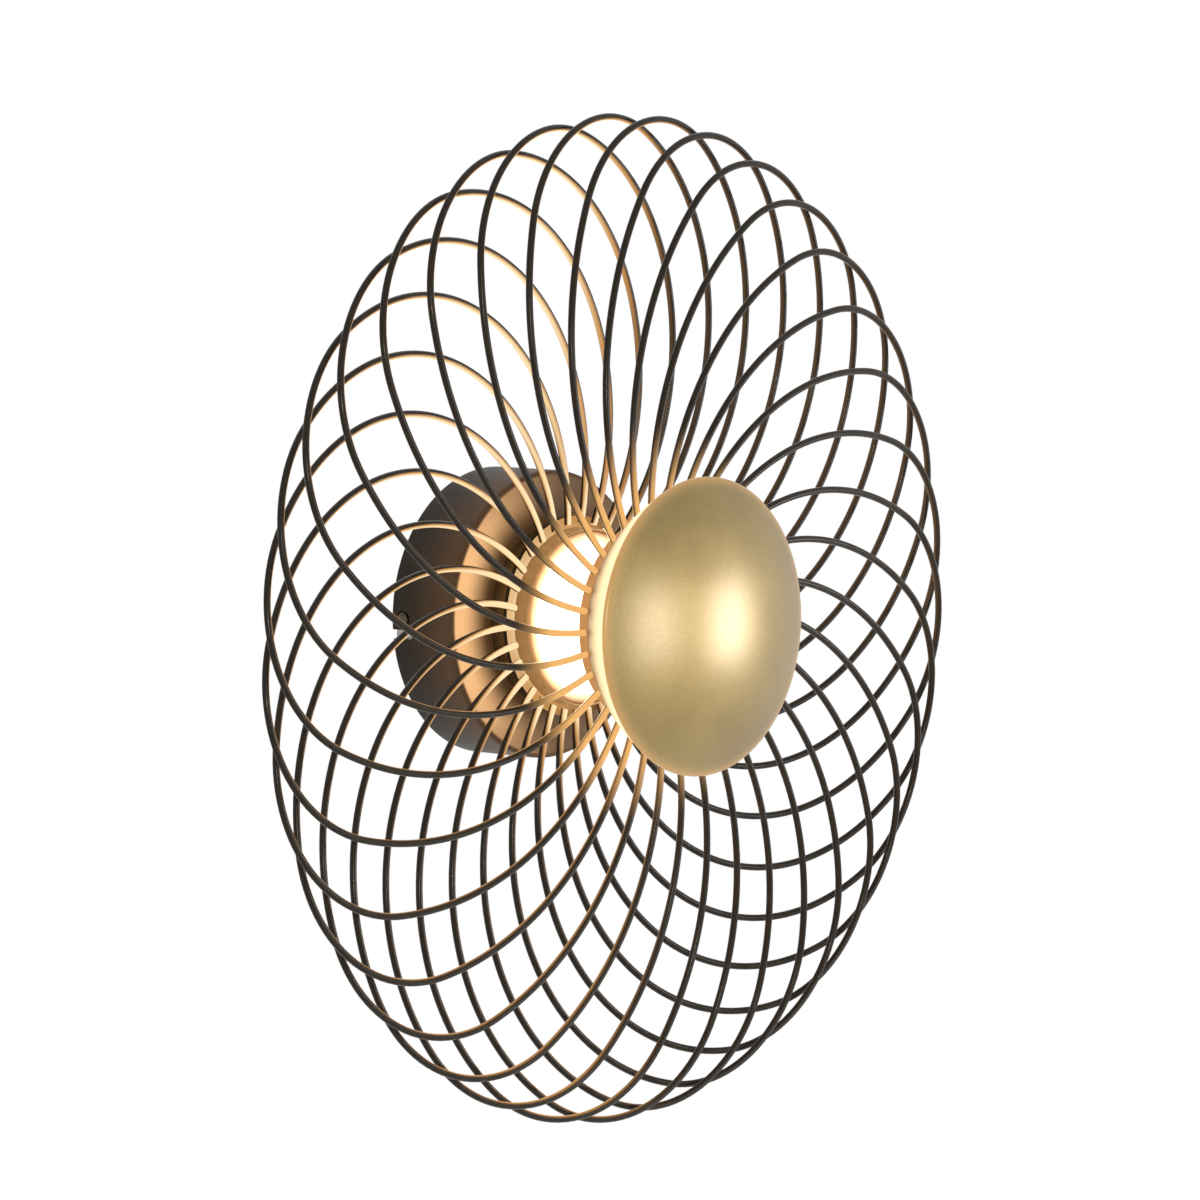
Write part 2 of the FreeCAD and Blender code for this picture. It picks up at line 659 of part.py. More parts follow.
# Holder of the flat disc lamp: a flange with two keyhole slots, and a well for the lamp's boss
def make_holder():
    outer = "lamp_radius"
    back = "holder_back"
    front = "holder_front"
    blank = turned("holder", [
        ("0", "well_back"), ("well_radius", "well_back"), ("well_radius", back), (outer, back),
        (outer, front), ("well_bore", front), ("well_bore", "well_back + well_wall"),
        ("0", "well_back + well_wall"),
    ])
    tools = []
    chamber = "pin_head_radius + turn_gap"
    contacts = []
    for angle in PIN_ANGLES:
        tools.append(arc_slot("neck_%d" % angle, "pin_neck_radius + turn_gap",
                              "%s - neck_plate - overrun" % front, "%s + overrun" % front,
                              angle, "lamp_turn"))
        tools.append(arc_slot("chamber_%d" % angle, chamber, "%s + chamber_floor" % back,
                              "%s - neck_plate" % front, angle, "lamp_turn"))
        across, up = polar("pin_distance", "%d + lamp_turn" % angle)
        tools.append(rod("entry_%d" % angle, chamber, "%s - neck_plate - overrun" % front,
                         "%s + overrun" % front, across, up))
        contacts.append(arc_slot("contact_%d" % angle, "pin_head_radius + turn_gap - contact_side",
                                 "%s + chamber_floor" % back, "%s + chamber_floor + contact_thick" % back,
                                 angle, "lamp_turn"))
    for angle in HOLDER_SCREW_ANGLES:
        across, up = polar("holder_screw_distance", angle)
        tools.append(rod("holder_hole_%d" % angle, "small_shank_radius + touch_gap", "%s - overrun" % back,
                         "%s + overrun" % front, across, up))
        tools.append(rod("holder_recess_%d" % angle, "small_head_radius + turn_gap",
                         "%s - counterbore" % front, "%s + overrun" % front, across, up))
    for way in ("-", ""):
        tools.append(rod("holder_exit_%s" % ("left" if way else "right"), "lead_radius + touch_gap",
                         "well_back - overrun", "well_back + well_wall + overrun", way + "lead_side",
                         "lead_top"))
    finish(cut("holder_cut", blank, tools), "lamp_holder")
    group = doc.addObject("Part::Compound", "contact_group")
    group.Links = contacts
    finish(group, "holder_contacts")
    fixing = screw("holder_screw", "small_head_radius", "small_head_height", "small_shank_radius",
                   "flange_thick - counterbore + cup_base - touch_gap")
    copies("holder_screws", fixing, [around("holder_screw_distance", "%s - counterbore" % front, angle)
                                     for angle in HOLDER_SCREW_ANGLES])


def lead_path(across):
    """Straight back out of the holder, one bend, and straight down into the terminal."""
    bend = size("lead_bend")
    depth = size("pole_depth")
    top = size("lead_top")
    turned_at = -(depth + bend)
    start = FreeCAD.Vector(across, -size("well_back + well_wall / 2"), top)
    first = FreeCAD.Vector(across, turned_at, top)
    last = FreeCAD.Vector(across, -depth, top - bend)
    centre = FreeCAD.Vector(across, turned_at, top - bend)
    middle = centre + FreeCAD.Vector(0, math.sin(math.pi / 4), math.sin(math.pi / 4)) * bend
    end = FreeCAD.Vector(across, -depth, -size("block_top + lead_sunk"))
    edges = [Part.LineSegment(start, first), Part.Arc(first, middle, last), Part.LineSegment(last, end)]
    return Part.Wire([edge.toShape() for edge in edges])


def tube_along(path, radius):
    """A solid round tube along a path, its volume compared with section times length."""
    start = path.Edges[0]
    way = start.tangentAt(start.FirstParameter)
    circle = Part.Circle(start.valueAt(start.FirstParameter), way, radius)
    pipe = Part.BRepOffsetAPI.MakePipeShell(path)
    pipe.add(Part.Wire([circle.toShape()]))
    pipe.build()
    pipe.makeSolid()
    solid = pipe.shape()
    expected = math.pi * radius ** 2 * path.Length
    print("tube: volume over section times length %.5f" % (solid.Volume / expected))
    return solid


# Leads from the holder to the terminal block
def make_leads():
    for label, way in (("live_lead", -1), ("neutral_lead", 1)):
        lead = doc.addObject("Part::Feature", label + "_tube")
        lead.Shape = tube_along(lead_path(way * size("lead_side")), size("lead_radius"))
        finish(lead, label)


# Flat disc lamp with its pins, board, driver and diffuser
def make_lamp():
    outer = "lamp_radius"
    inner = "lamp_radius - lamp_wall"
    back = "lamp_back"
    floor = "lamp_floor_front"
    blank = turned("lamp_housing", [
        ("0", "boss_back"), ("boss_radius", "boss_back"), ("boss_radius", back), (outer, back),
        (outer, "lamp_split"), (inner, "lamp_split"), (inner, floor), ("boss_radius - lamp_wall", floor),
        ("boss_radius - lamp_wall", "boss_back + lamp_floor"), ("0", "boss_back + lamp_floor"),
    ])
    pins = []
    tools = []
    neck = "neck_plate + 2 * turn_gap"
    for angle in PIN_ANGLES:
        across, up = polar("pin_distance", angle)
        tools.append(rod("pin_seat_%d" % angle, "pin_neck_radius + touch_gap", "%s - overrun" % back,
                         "%s + overrun" % floor, across, up))
        stem = rod("pin_stem_%d" % angle, "pin_neck_radius", "%s - (%s)" % (back, neck), floor, across, up)
        head = rod("pin_head_%d" % angle, "pin_head_radius", "%s - (%s) - pin_head_height" % (back, neck),
                   "%s - (%s)" % (back, neck), across, up)
        pins.append(joined("pin_%d" % angle, [stem, head]))
    finish(cut("lamp_housing_cut", blank, tools), "lamp_body")
    group = doc.addObject("Part::Compound", "pin_group")
    group.Links = pins
    finish(group, "lamp_pins")

    board_radius = "%s - board_side" % inner
    board_front = "%s + board_thick" % floor
    pieces = [rod("board_disc", board_radius, floor, board_front)]
    circles = (("inner_diode_distance", INNER_DIODES), ("outer_diode_distance", OUTER_DIODES))
    for circle, count in circles:
        for number in range(count):
            diode = doc.addObject("Part::Box", "%s_%d" % (circle, number + 1))
            bind(diode, "Length", "diode_length")
            bind(diode, "Width", "diode_height")
            bind(diode, "Height", "diode_width")
            across, up = polar(circle, number * 360 / count)
            place(diode, "%s - diode_length / 2" % across, "%s + diode_height" % board_front,
                  "%s - diode_width / 2" % up)
            pieces.append(diode)
    finish(joined("board_solid", pieces), "lamp_board")
    finish(rod("driver", "boss_radius - lamp_wall - board_side", "boss_back + lamp_floor", "driver_front"),
           "lamp_driver")
    diffuser = turned("diffuser", [
        (inner, "lamp_split"), (outer, "lamp_split"), (outer, "diffuser_edge", "cap"),
        ("0", "diffuser_edge + diffuser_rise"), ("0", "diffuser_edge + diffuser_rise - lamp_wall", "cap"),
        (inner, "diffuser_edge - lamp_wall"),
    ], [(outer, "diffuser_edge", "diffuser_round")])
    finish(diffuser, "lamp_diffuser")


# The two rings that carry the wires
def make_rings():
    inner = "cup_radius + touch_gap"
    rear = turned("rear_ring", [
        (inner, "rear_ring_back"), ("rear_ring_radius", "rear_ring_back"),
        ("rear_ring_radius", "rear_ring_front"), (inner, "rear_ring_front"),
    ])
    finish(rear, "rear_ring")
    inside = "front_ring_radius - front_ring_wall"
    band = turned("front_band", [
        (inside, "front_ring_back"), ("front_ring_radius", "front_ring_back"),
        ("front_ring_radius", "front_ring_front"), (inside, "front_ring_front"),
    ])
    pieces = [band]
    rooted = "%s + front_ring_wall / 2" % inside
    lug_back = "front_ring_front - lug_thick"
    for angle in LUG_ANGLES:
        pieces.append(sector("ring_lug_%d" % angle, "%s - lug_reach" % inside, rooted, lug_back,
                             "front_ring_front", str(angle), "ring_lug_angle"))
        stop = "%d - (collar_lug_angle + stop_angle) / 2 - stop_slack" % angle
        pieces.append(sector("ring_stop_%d" % angle, "%s - lug_reach" % inside, rooted, "front_ring_back",
                             "front_ring_front", stop, "stop_angle"))
    finish(joined("front_ring_solid", pieces), "front_ring")


# Dome: back pan, bayonet collar and gold shell
def make_dome():
    ring_inside = "front_ring_radius - front_ring_wall"
    collar_outer = "%s - lug_reach - turn_gap" % ring_inside
    lug_front = "front_ring_front - lug_thick - turn_gap"
    lug_back = "front_ring_front - 2 * lug_thick - turn_gap"
    collar = turned("collar_tube", [
        ("%s - collar_wall" % collar_outer, lug_back), (collar_outer, lug_back), (collar_outer, "pan_back"),
        ("%s - collar_wall" % collar_outer, "pan_back"),
    ])
    pieces = [collar]
    for angle in LUG_ANGLES:
        pieces.append(sector("collar_lug_%d" % angle, "%s - collar_wall / 2" % collar_outer,
                             "%s - turn_gap" % ring_inside, lug_back, lug_front, str(angle),
                             "collar_lug_angle"))
    finish(joined("collar_solid", pieces), "dome_collar")
    flat = "front_ring_radius + pan_flat_margin"
    rim = "dome_radius - dome_wall - touch_gap"
    pan = turned("pan", [
        ("0", "pan_back"), (flat, "pan_back", "pan_bow_radius"), (rim, "dome_edge - dome_wall"),
        ("%s - pan_wall" % rim, "dome_edge - dome_wall", "-pan_bow_radius"),
        ("%s - pan_wall" % flat, "pan_back + pan_wall"), ("0", "pan_back + pan_wall"),
    ])
    finish(pan, "dome_pan")
    inside = "dome_radius - dome_wall"
    shell = turned("shell", [
        (inside, "dome_back"), ("dome_radius", "dome_back"), ("dome_radius", "dome_edge", "cap"),
        ("0", "dome_edge + dome_rise"), ("0", "dome_edge + dome_rise - dome_wall", "cap"),
        (inside, "dome_edge - dome_wall / 2"),
    ], [("dome_radius", "dome_edge", "dome_rim_round")])
    finish(shell, "dome_shell")


def meets(centre, radius, ring, way):
    """The angle on a circle at which it meets a ring about the lamp's axis."""
    away = centre.Length
    share = (ring ** 2 - away ** 2 - radius ** 2) / (2 * away * radius)
    return math.atan2(centre.y, centre.x) + way * math.acos(share)


def wire_stretches():
    """The wire seen from the front as three tangent arcs: (centre, radius, first and last angle)."""
    tip = size("tip_radius")
    centre = FreeCAD.Vector(size("tip_arc_place"), 0, 0)
    joins = (-math.radians(size("rear_join_angle")), math.radians(size("front_join_angle")))
    flanks = []
    for radius, join in zip((size("rear_flank_radius"), size("front_flank_radius")), joins):
        out = FreeCAD.Vector(math.cos(join), math.sin(join), 0)
        flanks.append((centre + out * (tip - radius), radius))
    rear_centre, rear_radius = flanks[0]
    front_centre, front_radius = flanks[1]
    first = meets(rear_centre, rear_radius, size("rear_end_radius"), -1)
    last = meets(front_centre, front_radius, size("front_ring_radius + front_end_gap"), 1)
    return [
        (rear_centre, rear_radius, first, joins[0]),
        (centre, tip, joins[0], joins[1]),
        (front_centre, front_radius, joins[1], last),
    ]


def wire_point(stretches, share):
    """The wire's centre line at a share of its length, in the frame of its own loop."""
    lengths = [radius * (last - first) for centre, radius, first, last in stretches]
    total = sum(lengths)
    along = share * total
    for (centre, radius, first, last), length in zip(stretches, lengths):
        if along <= length or centre is stretches[-1][0]:
            break
        along -= length
    turn = first + along / radius
    flat = centre + FreeCAD.Vector(math.cos(turn), math.sin(turn), 0) * radius
    rear = size("rear_ring_front + wire_radius + touch_gap")
    rise = size("front_end_depth") - rear
    bow = size("wire_bow") * math.sin(math.pi * share)
    sway = size("wire_sway") * math.sin(2 * math.pi * share)
    depth = rear + rise * share + bow - sway
    return FreeCAD.Vector(flat.x, -depth, flat.y)


def wire_tangent(stretches, share):
    """The unit direction of the wire at a share of its length."""
    near = max(share - TANGENT_STEP_SHARE, 0)
    far = min(share + TANGENT_STEP_SHARE, 1)
    return (wire_point(stretches, far) - wire_point(stretches, near)).normalize()


def biarc(start, leave, end, arrive):
    """Two arcs that meet smoothly, from a start and direction to an end and direction."""
    span = end - start
    both = leave + arrive
    quad = 2 * (leave.dot(arrive) - 1)
    if abs(quad) < SAME_WAY:
        reach = span.dot(span) / (2 * span.dot(both))
    else:
        reach = (span.dot(both) - math.sqrt(span.dot(both) ** 2 - quad * span.dot(span))) / quad
    near = start + leave * reach
    far = end - arrive * reach
    joint = (near + far) * 0.5
    arcs = []
    for first, corner, last in ((start, near, joint), (joint, far, end)):
        chord = (first + last) * 0.5
        half = (last - first).Length / 2
        rise = (corner - chord).Length
        # the arc's crown lies on the line from the chord's middle to the corner of its two tangents
        slant = math.hypot(half, rise)
        crown = chord + (corner - chord).normalize() * (half * rise / (slant + half))
        arcs.append(Part.Arc(first, crown, last).toShape())
    return arcs


def wire_path():
    """The centre line of a loop that leans out along +X."""
    stretches = wire_stretches()
    shares = [number / RUNS for number in range(RUNS + 1)]
    spots = [wire_point(stretches, share) for share in shares]
    ways = [wire_tangent(stretches, share) for share in shares]
    edges = []
    for start, leave, end, arrive in zip(spots, ways, spots[1:], ways[1:]):
        edges += biarc(start, leave, end, arrive)
    return Part.Wire(edges)


# Wire loops, each from the rear ring out and round to the front ring
def make_wires():
    loop = tube_along(wire_path(), size("wire_radius"))
    for number in range(LOOPS):
        even = 360 * number / LOOPS
        crowd = size("crowding") * math.cos(math.radians(even - size("crowding_side")))
        crowd += size("second_crowding") * math.cos(2 * math.radians(even - size("second_crowding_side")))
        angle = even + size("first_loop_angle") - crowd
        wire = doc.addObject("Part::Feature", "loop_%02d" % (number + 1))
        wire.Shape = loop
        turn = FreeCAD.Rotation(FreeCAD.Vector(0, 1, 0), -angle)
        wire.Placement = FreeCAD.Placement(FreeCAD.Vector(), turn)
        finish(wire, "wire_loop_%02d" % (number + 1))


make_canopy()
make_bracket()
make_terminals()
make_cup()
make_holder()
make_leads()
make_lamp()
make_rings()
make_dome()
make_wires()
doc.recompute()

for item in doc.Objects:
    bad = [state for state in item.State if state in ("Invalid", "Error")]
    if bad:
        raise RuntimeError("%s is %s" % (item.Name, bad))
for item in nodes:
    shape = item.Shape
    if shape.isNull() or not shape.isValid() or not shape.Solids:
        raise RuntimeError("%s has no valid shape" % item.Label)
for item in nodes:
    item.Shape.exportStep("parts/%s.step" % item.Label)
print("%d nodes" % len(nodes))
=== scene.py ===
import logging
import math
from dataclasses import dataclass
from enum import Enum
from typing import Any, Dict, List, Optional, Sequence, Tuple, Union

import bmesh
import bpy
from mathutils import Matrix, Vector


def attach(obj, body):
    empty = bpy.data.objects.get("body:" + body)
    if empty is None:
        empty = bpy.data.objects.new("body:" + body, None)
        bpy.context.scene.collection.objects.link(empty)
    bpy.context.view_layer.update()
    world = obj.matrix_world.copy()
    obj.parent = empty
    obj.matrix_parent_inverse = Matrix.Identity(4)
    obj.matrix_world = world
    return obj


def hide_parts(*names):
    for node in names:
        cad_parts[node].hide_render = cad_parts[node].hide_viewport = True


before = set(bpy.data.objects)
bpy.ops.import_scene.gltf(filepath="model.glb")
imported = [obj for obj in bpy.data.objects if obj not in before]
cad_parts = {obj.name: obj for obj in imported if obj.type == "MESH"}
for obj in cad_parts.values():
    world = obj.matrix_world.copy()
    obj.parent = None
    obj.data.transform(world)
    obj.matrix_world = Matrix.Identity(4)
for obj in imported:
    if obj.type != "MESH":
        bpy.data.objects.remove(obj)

LOG = logging.getLogger("sconce")
MM = 0.001
Colour = Tuple[float, float, float]
Number = Union[int, float]
Inputs = Dict[Union[int, str], Any]
WHITE: Colour = (1.0, 1.0, 1.0)
BLACK: Colour = (0.0, 0.0, 0.0)


class Body(Enum):
    """The frame's bodies that new pieces ride on."""

    BASE = "base"
    DOME = "dome"


class Slot(Enum):
    """The record's material slots."""

    BRONZE = "bronze"
    GOLD = "gold"
    LIVE = "live_jacket"
    NEUTRAL = "neutral_jacket"


class Val:
    """A number socket in a node tree that takes part in arithmetic."""

    def __init__(self, graph: "Graph", socket: bpy.types.NodeSocket) -> None:
        """Wrap one output socket of a graph."""
        self.graph = graph
        self.socket = socket

    def __add__(self, other: Any) -> "Val":
        """This plus another value."""
        return self.graph.maths("ADD", self, other)

    def __radd__(self, other: Any) -> "Val":
        """Another value plus this."""
        return self.graph.maths("ADD", other, self)

    def __sub__(self, other: Any) -> "Val":
        """This less another value."""
        return self.graph.maths("SUBTRACT", self, other)

    def __rsub__(self, other: Any) -> "Val":
        """Another value less this."""
        return self.graph.maths("SUBTRACT", other, self)

    def __mul__(self, other: Any) -> "Val":
        """This times another value."""
        return self.graph.maths("MULTIPLY", self, other)

    def __rmul__(self, other: Any) -> "Val":
        """Another value times this."""
        return self.graph.maths("MULTIPLY", other, self)

    def __truediv__(self, other: Any) -> "Val":
        """This over another value."""
        return self.graph.maths("DIVIDE", self, other)

    def __neg__(self) -> "Val":
        """This with its sign turned."""
        return self.graph.maths("MULTIPLY", self, -1.0)

    def __lt__(self, other: Any) -> "Val":
        """One where this is below another value, else zero."""
        return self.graph.maths("LESS_THAN", self, other)

    def __gt__(self, other: Any) -> "Val":
        """One where this is above another value, else zero."""
        return self.graph.maths("GREATER_THAN", self, other)

    def sin(self) -> "Val":
        """The sine."""
        return self.graph.maths("SINE", self)

    def cos(self) -> "Val":
        """The cosine."""
        return self.graph.maths("COSINE", self)

    def acos(self) -> "Val":
        """The angle with this cosine."""
        return self.graph.maths("ARCCOSINE", self)

    def sqrt(self) -> "Val":
        """The square root."""
        return self.graph.maths("SQRT", self)

    def either(self, yes: Any, no: Any) -> "Val":
        """One value where this is one, another where it is zero."""
        return self * yes + (1 - self) * no


class Graph:
    """A node tree that is written as expressions."""

    def __init__(self, tree: bpy.types.NodeTree) -> None:
        """Start on a tree."""
        self.tree = tree

    @staticmethod
    def socket(sockets: Any, key: Union[int, str]) -> bpy.types.NodeSocket:
        """Find a socket by index, identifier or name.

        Args:
            sockets: a node's inputs or outputs.
            key: what to look for.

        Returns:
            The socket.
        """
        if isinstance(key, int):
            return sockets[key]
        for item in sockets:
            if item.identifier == key:
                return item
        return sockets[key]

    def node(self, kind: str, inputs: Optional[Inputs] = None, **settings: str) -> bpy.types.Node:
        """Add a node.

        Args:
            kind: the node's type.
            inputs: socket to number, colour, value or link.
            settings: properties to set first.

        Returns:
            The node.
        """
        made = self.tree.nodes.new(kind)
        for name, value in settings.items():
            setattr(made, name, value)
        for key, value in (inputs or {}).items():
            target = self.socket(made.inputs, key)
            if isinstance(value, Val):
                self.tree.links.new(value.socket, target)
            elif isinstance(value, bpy.types.NodeSocket):
                self.tree.links.new(value, target)
            elif target.type == "RGBA" and len(value) == 3:
                target.default_value = (*value, 1.0)
            else:
                target.default_value = value
        return made

    def value(self, made: bpy.types.Node, key: Union[int, str] = 0) -> Val:
        """An output of a node as a value."""
        return Val(self, self.socket(made.outputs, key))

    def maths(self, operation: str, *values: Any) -> Val:
        """What a Math node makes of numbers or values."""
        return self.value(self.node("ShaderNodeMath", dict(enumerate(values)), operation=operation))

    def vector(self, x: Any, y: Any, z: Any) -> Val:
        """Three numbers as a vector."""
        return self.value(self.node("ShaderNodeCombineXYZ", {0: x, 1: y, 2: z}))

    def stretch(self, value: Any, low: float, high: float, to_low: float = 0.0, to_high: float = 1.0) -> Val:
        """Map a value from one range to another with eased ends, and keep it there.

        Args:
            value: what is mapped.
            low: start of its range.
            high: end of its range.
            to_low: result at the start.
            to_high: result at the end.

        Returns:
            The mapped value.
        """
        made = self.node("ShaderNodeMapRange", {"Value": value, "From Min": low, "From Max": high,
                                                "To Min": to_low, "To Max": to_high},
                         interpolation_type="SMOOTHSTEP")
        return self.value(made, "Result")


@dataclass(frozen=True)
class Ramp:
    """An eased way from one level to another between two places."""

    low: float
    high: float
    to_low: float = 0.0
    to_high: float = 1.0

    def of(self, value: Val) -> Val:
        """The level that belongs to a value."""
        return value.graph.stretch(value, self.low, self.high, self.to_low, self.to_high)


class ShaderGraph(Graph):
    """The node tree of one material."""

    def __init__(self, material: bpy.types.Material) -> None:
        """Empty the material's tree and start on it.

        Args:
            material: whose nodes are written.
        """
        material.use_nodes = True
        super().__init__(material.node_tree)
        self.tree.nodes.clear()
        self.place = self.value(self.node("ShaderNodeTexCoord"), "Object")

    def axes(self) -> Tuple[Val, Val, Val]:
        """Place across, depth out of the wall and height."""
        split = self.node("ShaderNodeSeparateXYZ", {0: self.place})
        return self.value(split, 0), -self.value(split, 1), self.value(split, 2)

    def away(self) -> Val:
        """Distance from the lamp's axis."""
        x, _, z = self.axes()
        return (x * x + z * z).sqrt()

    def normal(self) -> Tuple[Val, Val, Val]:
        """Where the surface faces.

        Returns:
            Its direction along X, Y and Z.
        """
        geometry = self.node("ShaderNodeNewGeometry")
        split = self.node("ShaderNodeSeparateXYZ", {0: self.value(geometry, "Normal")})
        return self.value(split, 0), self.value(split, 1), self.value(split, 2)

    def facing(self) -> Tuple[Val, Val]:
        """How far the surface faces out of the wall, and how far away from the lamp's axis.

        Returns:
            Both, -1 to 1.
        """
        x, _, z = self.axes()
        across, back, up = self.normal()
        return -back, (x * across + z * up) / self.away()

    def lamp_level(self, reach: float, lamp_depth: float) -> Val:
        """How strongly the disc lamp lights the surface, for the painted lamp light, from where it faces and
        how far it is.

        Args:
            reach: distance at which the level is one, in metres.
            lamp_depth: the lamp's distance out of the wall.

        Returns:
            The level, zero where the surface faces away.
        """
        x, depth, z = self.axes()
        across, back, up = self.normal()
        ahead = lamp_depth - depth
        far = (x * x + z * z + ahead * ahead).sqrt()
        facing = -(x * across + ahead * back + z * up)
        return self.maths("MAXIMUM", facing / far, 0.0) * reach / far

    def noise(self, size: float, detail: float = 3.0, roughness: float = 0.5,
              place: Optional[Val] = None) -> Val:
        """Smooth noise with features of about one size.

        Args:
            size: of the features, in metres.
            detail: octaves.
            roughness: weight of the finer octaves.
            place: where it is read; the object's own coordinates if left out.

        Returns:
            The noise, about 0 to 1.
        """
        made = self.node("ShaderNodeTexNoise", {"Vector": place or self.place, "Scale": 1.0 / size,
                                                "Detail": detail, "Roughness": roughness})
        return self.value(made, "Fac")

    def flakes(self, size: float) -> Val:
        """The random numbers of cells of one size, which is in metres."""
        made = self.node("ShaderNodeTexVoronoi", {"Vector": self.place, "Scale": 1.0 / size}, feature="F1")
        return self.value(self.node("ShaderNodeSeparateColor", {0: self.value(made, "Color")}))

    def mix(self, factor: Any, first: Any, second: Any) -> Val:
        """Blend two colours.

        Args:
            factor: share of the second.
            first: a colour or a value.
            second: a colour or a value.

        Returns:
            The blend.
        """
        made = self.node("ShaderNodeMix", {"Factor_Float": factor, "A_Color": first, "B_Color": second},
                         data_type="RGBA")
        return self.value(made, "Result_Color")

    def bump(self, height: Val, distance: float, strength: float = 1.0, normal: Optional[Val] = None) -> Val:
        """A bumped normal.

        Args:
            height: 0 to 1.
            distance: how high one is, in metres.
            strength: of the bump.
            normal: an earlier normal to add to.

        Returns:
            The normal.
        """
        inputs: Inputs = {"Height": height, "Distance": distance, "Strength": strength}
        if normal is not None:
            inputs["Normal"] = normal
        return self.value(self.node("ShaderNodeBump", inputs), "Normal")

    def surface(self, inputs: Inputs) -> None:
        """End the tree in one shader with these sockets."""
        shader = self.node("ShaderNodeBsdfPrincipled", inputs)
        self.node("ShaderNodeOutputMaterial", {"Surface": shader.outputs[0]})


@dataclass(frozen=True)
class Finish:
    """What all finishes share: a name for the material."""

    name: str

    def material(self) -> bpy.types.Material:
        """Make the finish's material on first use.

        Returns:
            The material.
        """
        found = bpy.data.materials.get(self.name)
        if found is None:
            found = bpy.data.materials.new(self.name)
            self.paint(ShaderGraph(found))
        return found

    def paint(self, graph: ShaderGraph) -> None:
        """Write the finish's nodes."""
        raise NotImplementedError


@dataclass(frozen=True)
class LampLight:
    """How the disc lamp's warm light is painted on the paint as emission: which levels show, and where it is
    weaker.
    """

    depth: float = 66.0 * MM
    amber: Colour = (0.56, 0.27, 0.08)
    cream: Colour = (1.0, 0.77, 0.44)
    amber_level: Ramp = Ramp(0.10, 0.50)
    cream_level: Ramp = Ramp(0.42, 0.95)
    # The painted light is weaker to the right and towards the bottom.
    to_right: Ramp = Ramp(60.0 * MM, -50.0 * MM, 0.18, 1.0)
    to_bottom: Ramp = Ramp(-90.0 * MM, 10.0 * MM, 0.45, 1.0)

    def on(self, graph: ShaderGraph, reach: float) -> Val:
        """The painted lamp light on a surface.

        Args:
            graph: the material's nodes.
            reach: distance at which the lamp's level is one, in metres.

        Returns:
            Its colour.
        """
        x, _, z = graph.axes()
        level = graph.lamp_level(reach, self.depth) * self.to_right.of(x) * self.to_bottom.of(z)
        light = graph.mix(self.amber_level.of(level), BLACK, self.amber)
        return graph.mix(self.cream_level.of(level), light, self.cream)


@dataclass(frozen=True)
class FaceLight:
    """The bright crescent of lamp light, painted as emission on the flat faces of the canopy and the rear
    ring.
    """

    inner: Ramp = Ramp(40.0 * MM, 57.0 * MM)
    outer: Ramp = Ramp(61.5 * MM, 60.0 * MM)
    depth: Ramp = Ramp(31.0 * MM, 34.5 * MM)
    front: Ramp = Ramp(0.0, 0.4)
    to_right: Ramp = Ramp(12.0 * MM, -45.0 * MM, 0.14, 1.0)
    to_ends: Ramp = Ramp((55.0 * MM) ** 2, (18.0 * MM) ** 2, 0.5, 1.0)

    def share(self, graph: ShaderGraph) -> Val:
        """How much of it a surface takes.

        Args:
            graph: the material's nodes.

        Returns:
            The share, 0 to 1.
        """
        x, depth, z = graph.axes()
        away = graph.away()
        front, _ = graph.facing()
        flat = self.inner.of(away) * self.outer.of(away) * self.depth.of(depth) * self.front.of(front)
        return flat * (self.to_right.of(x) * self.to_ends.of(z * z))


@dataclass(frozen=True)
class NearLight:
    """The even glow, painted as emission, of what lies close to the lamp or in front of the reflector.

    It rises from far to near of the lamp's axis and from back to front out of the wall. Turn is what facing
    away from the axis adds, and left is how much stronger the painted glow is on the left.
    """

    strength: float
    colour: Colour
    near: float
    far: float
    back: float = 62.0 * MM
    front: float = 88.0 * MM
    turn: float = 1.0
    left: float = 1.0
    left_place: float = -45.0 * MM
    seen: Ramp = Ramp(-0.2, 1.0)

    def share(self, graph: ShaderGraph) -> Val:
        """How much of it a surface takes.

        Args:
            graph: the material's nodes.

        Returns:
            The share; more than one is taken as one.
        """
        x, depth, _ = graph.axes()
        near = graph.stretch(graph.away(), self.far, self.near)
        front, outward = graph.facing()
        side = graph.stretch(x, 0.0, self.left_place, 1.0, self.left)
        return near * graph.stretch(depth, self.back, self.front) \
            * self.seen.of(front + outward * self.turn) * self.strength * side


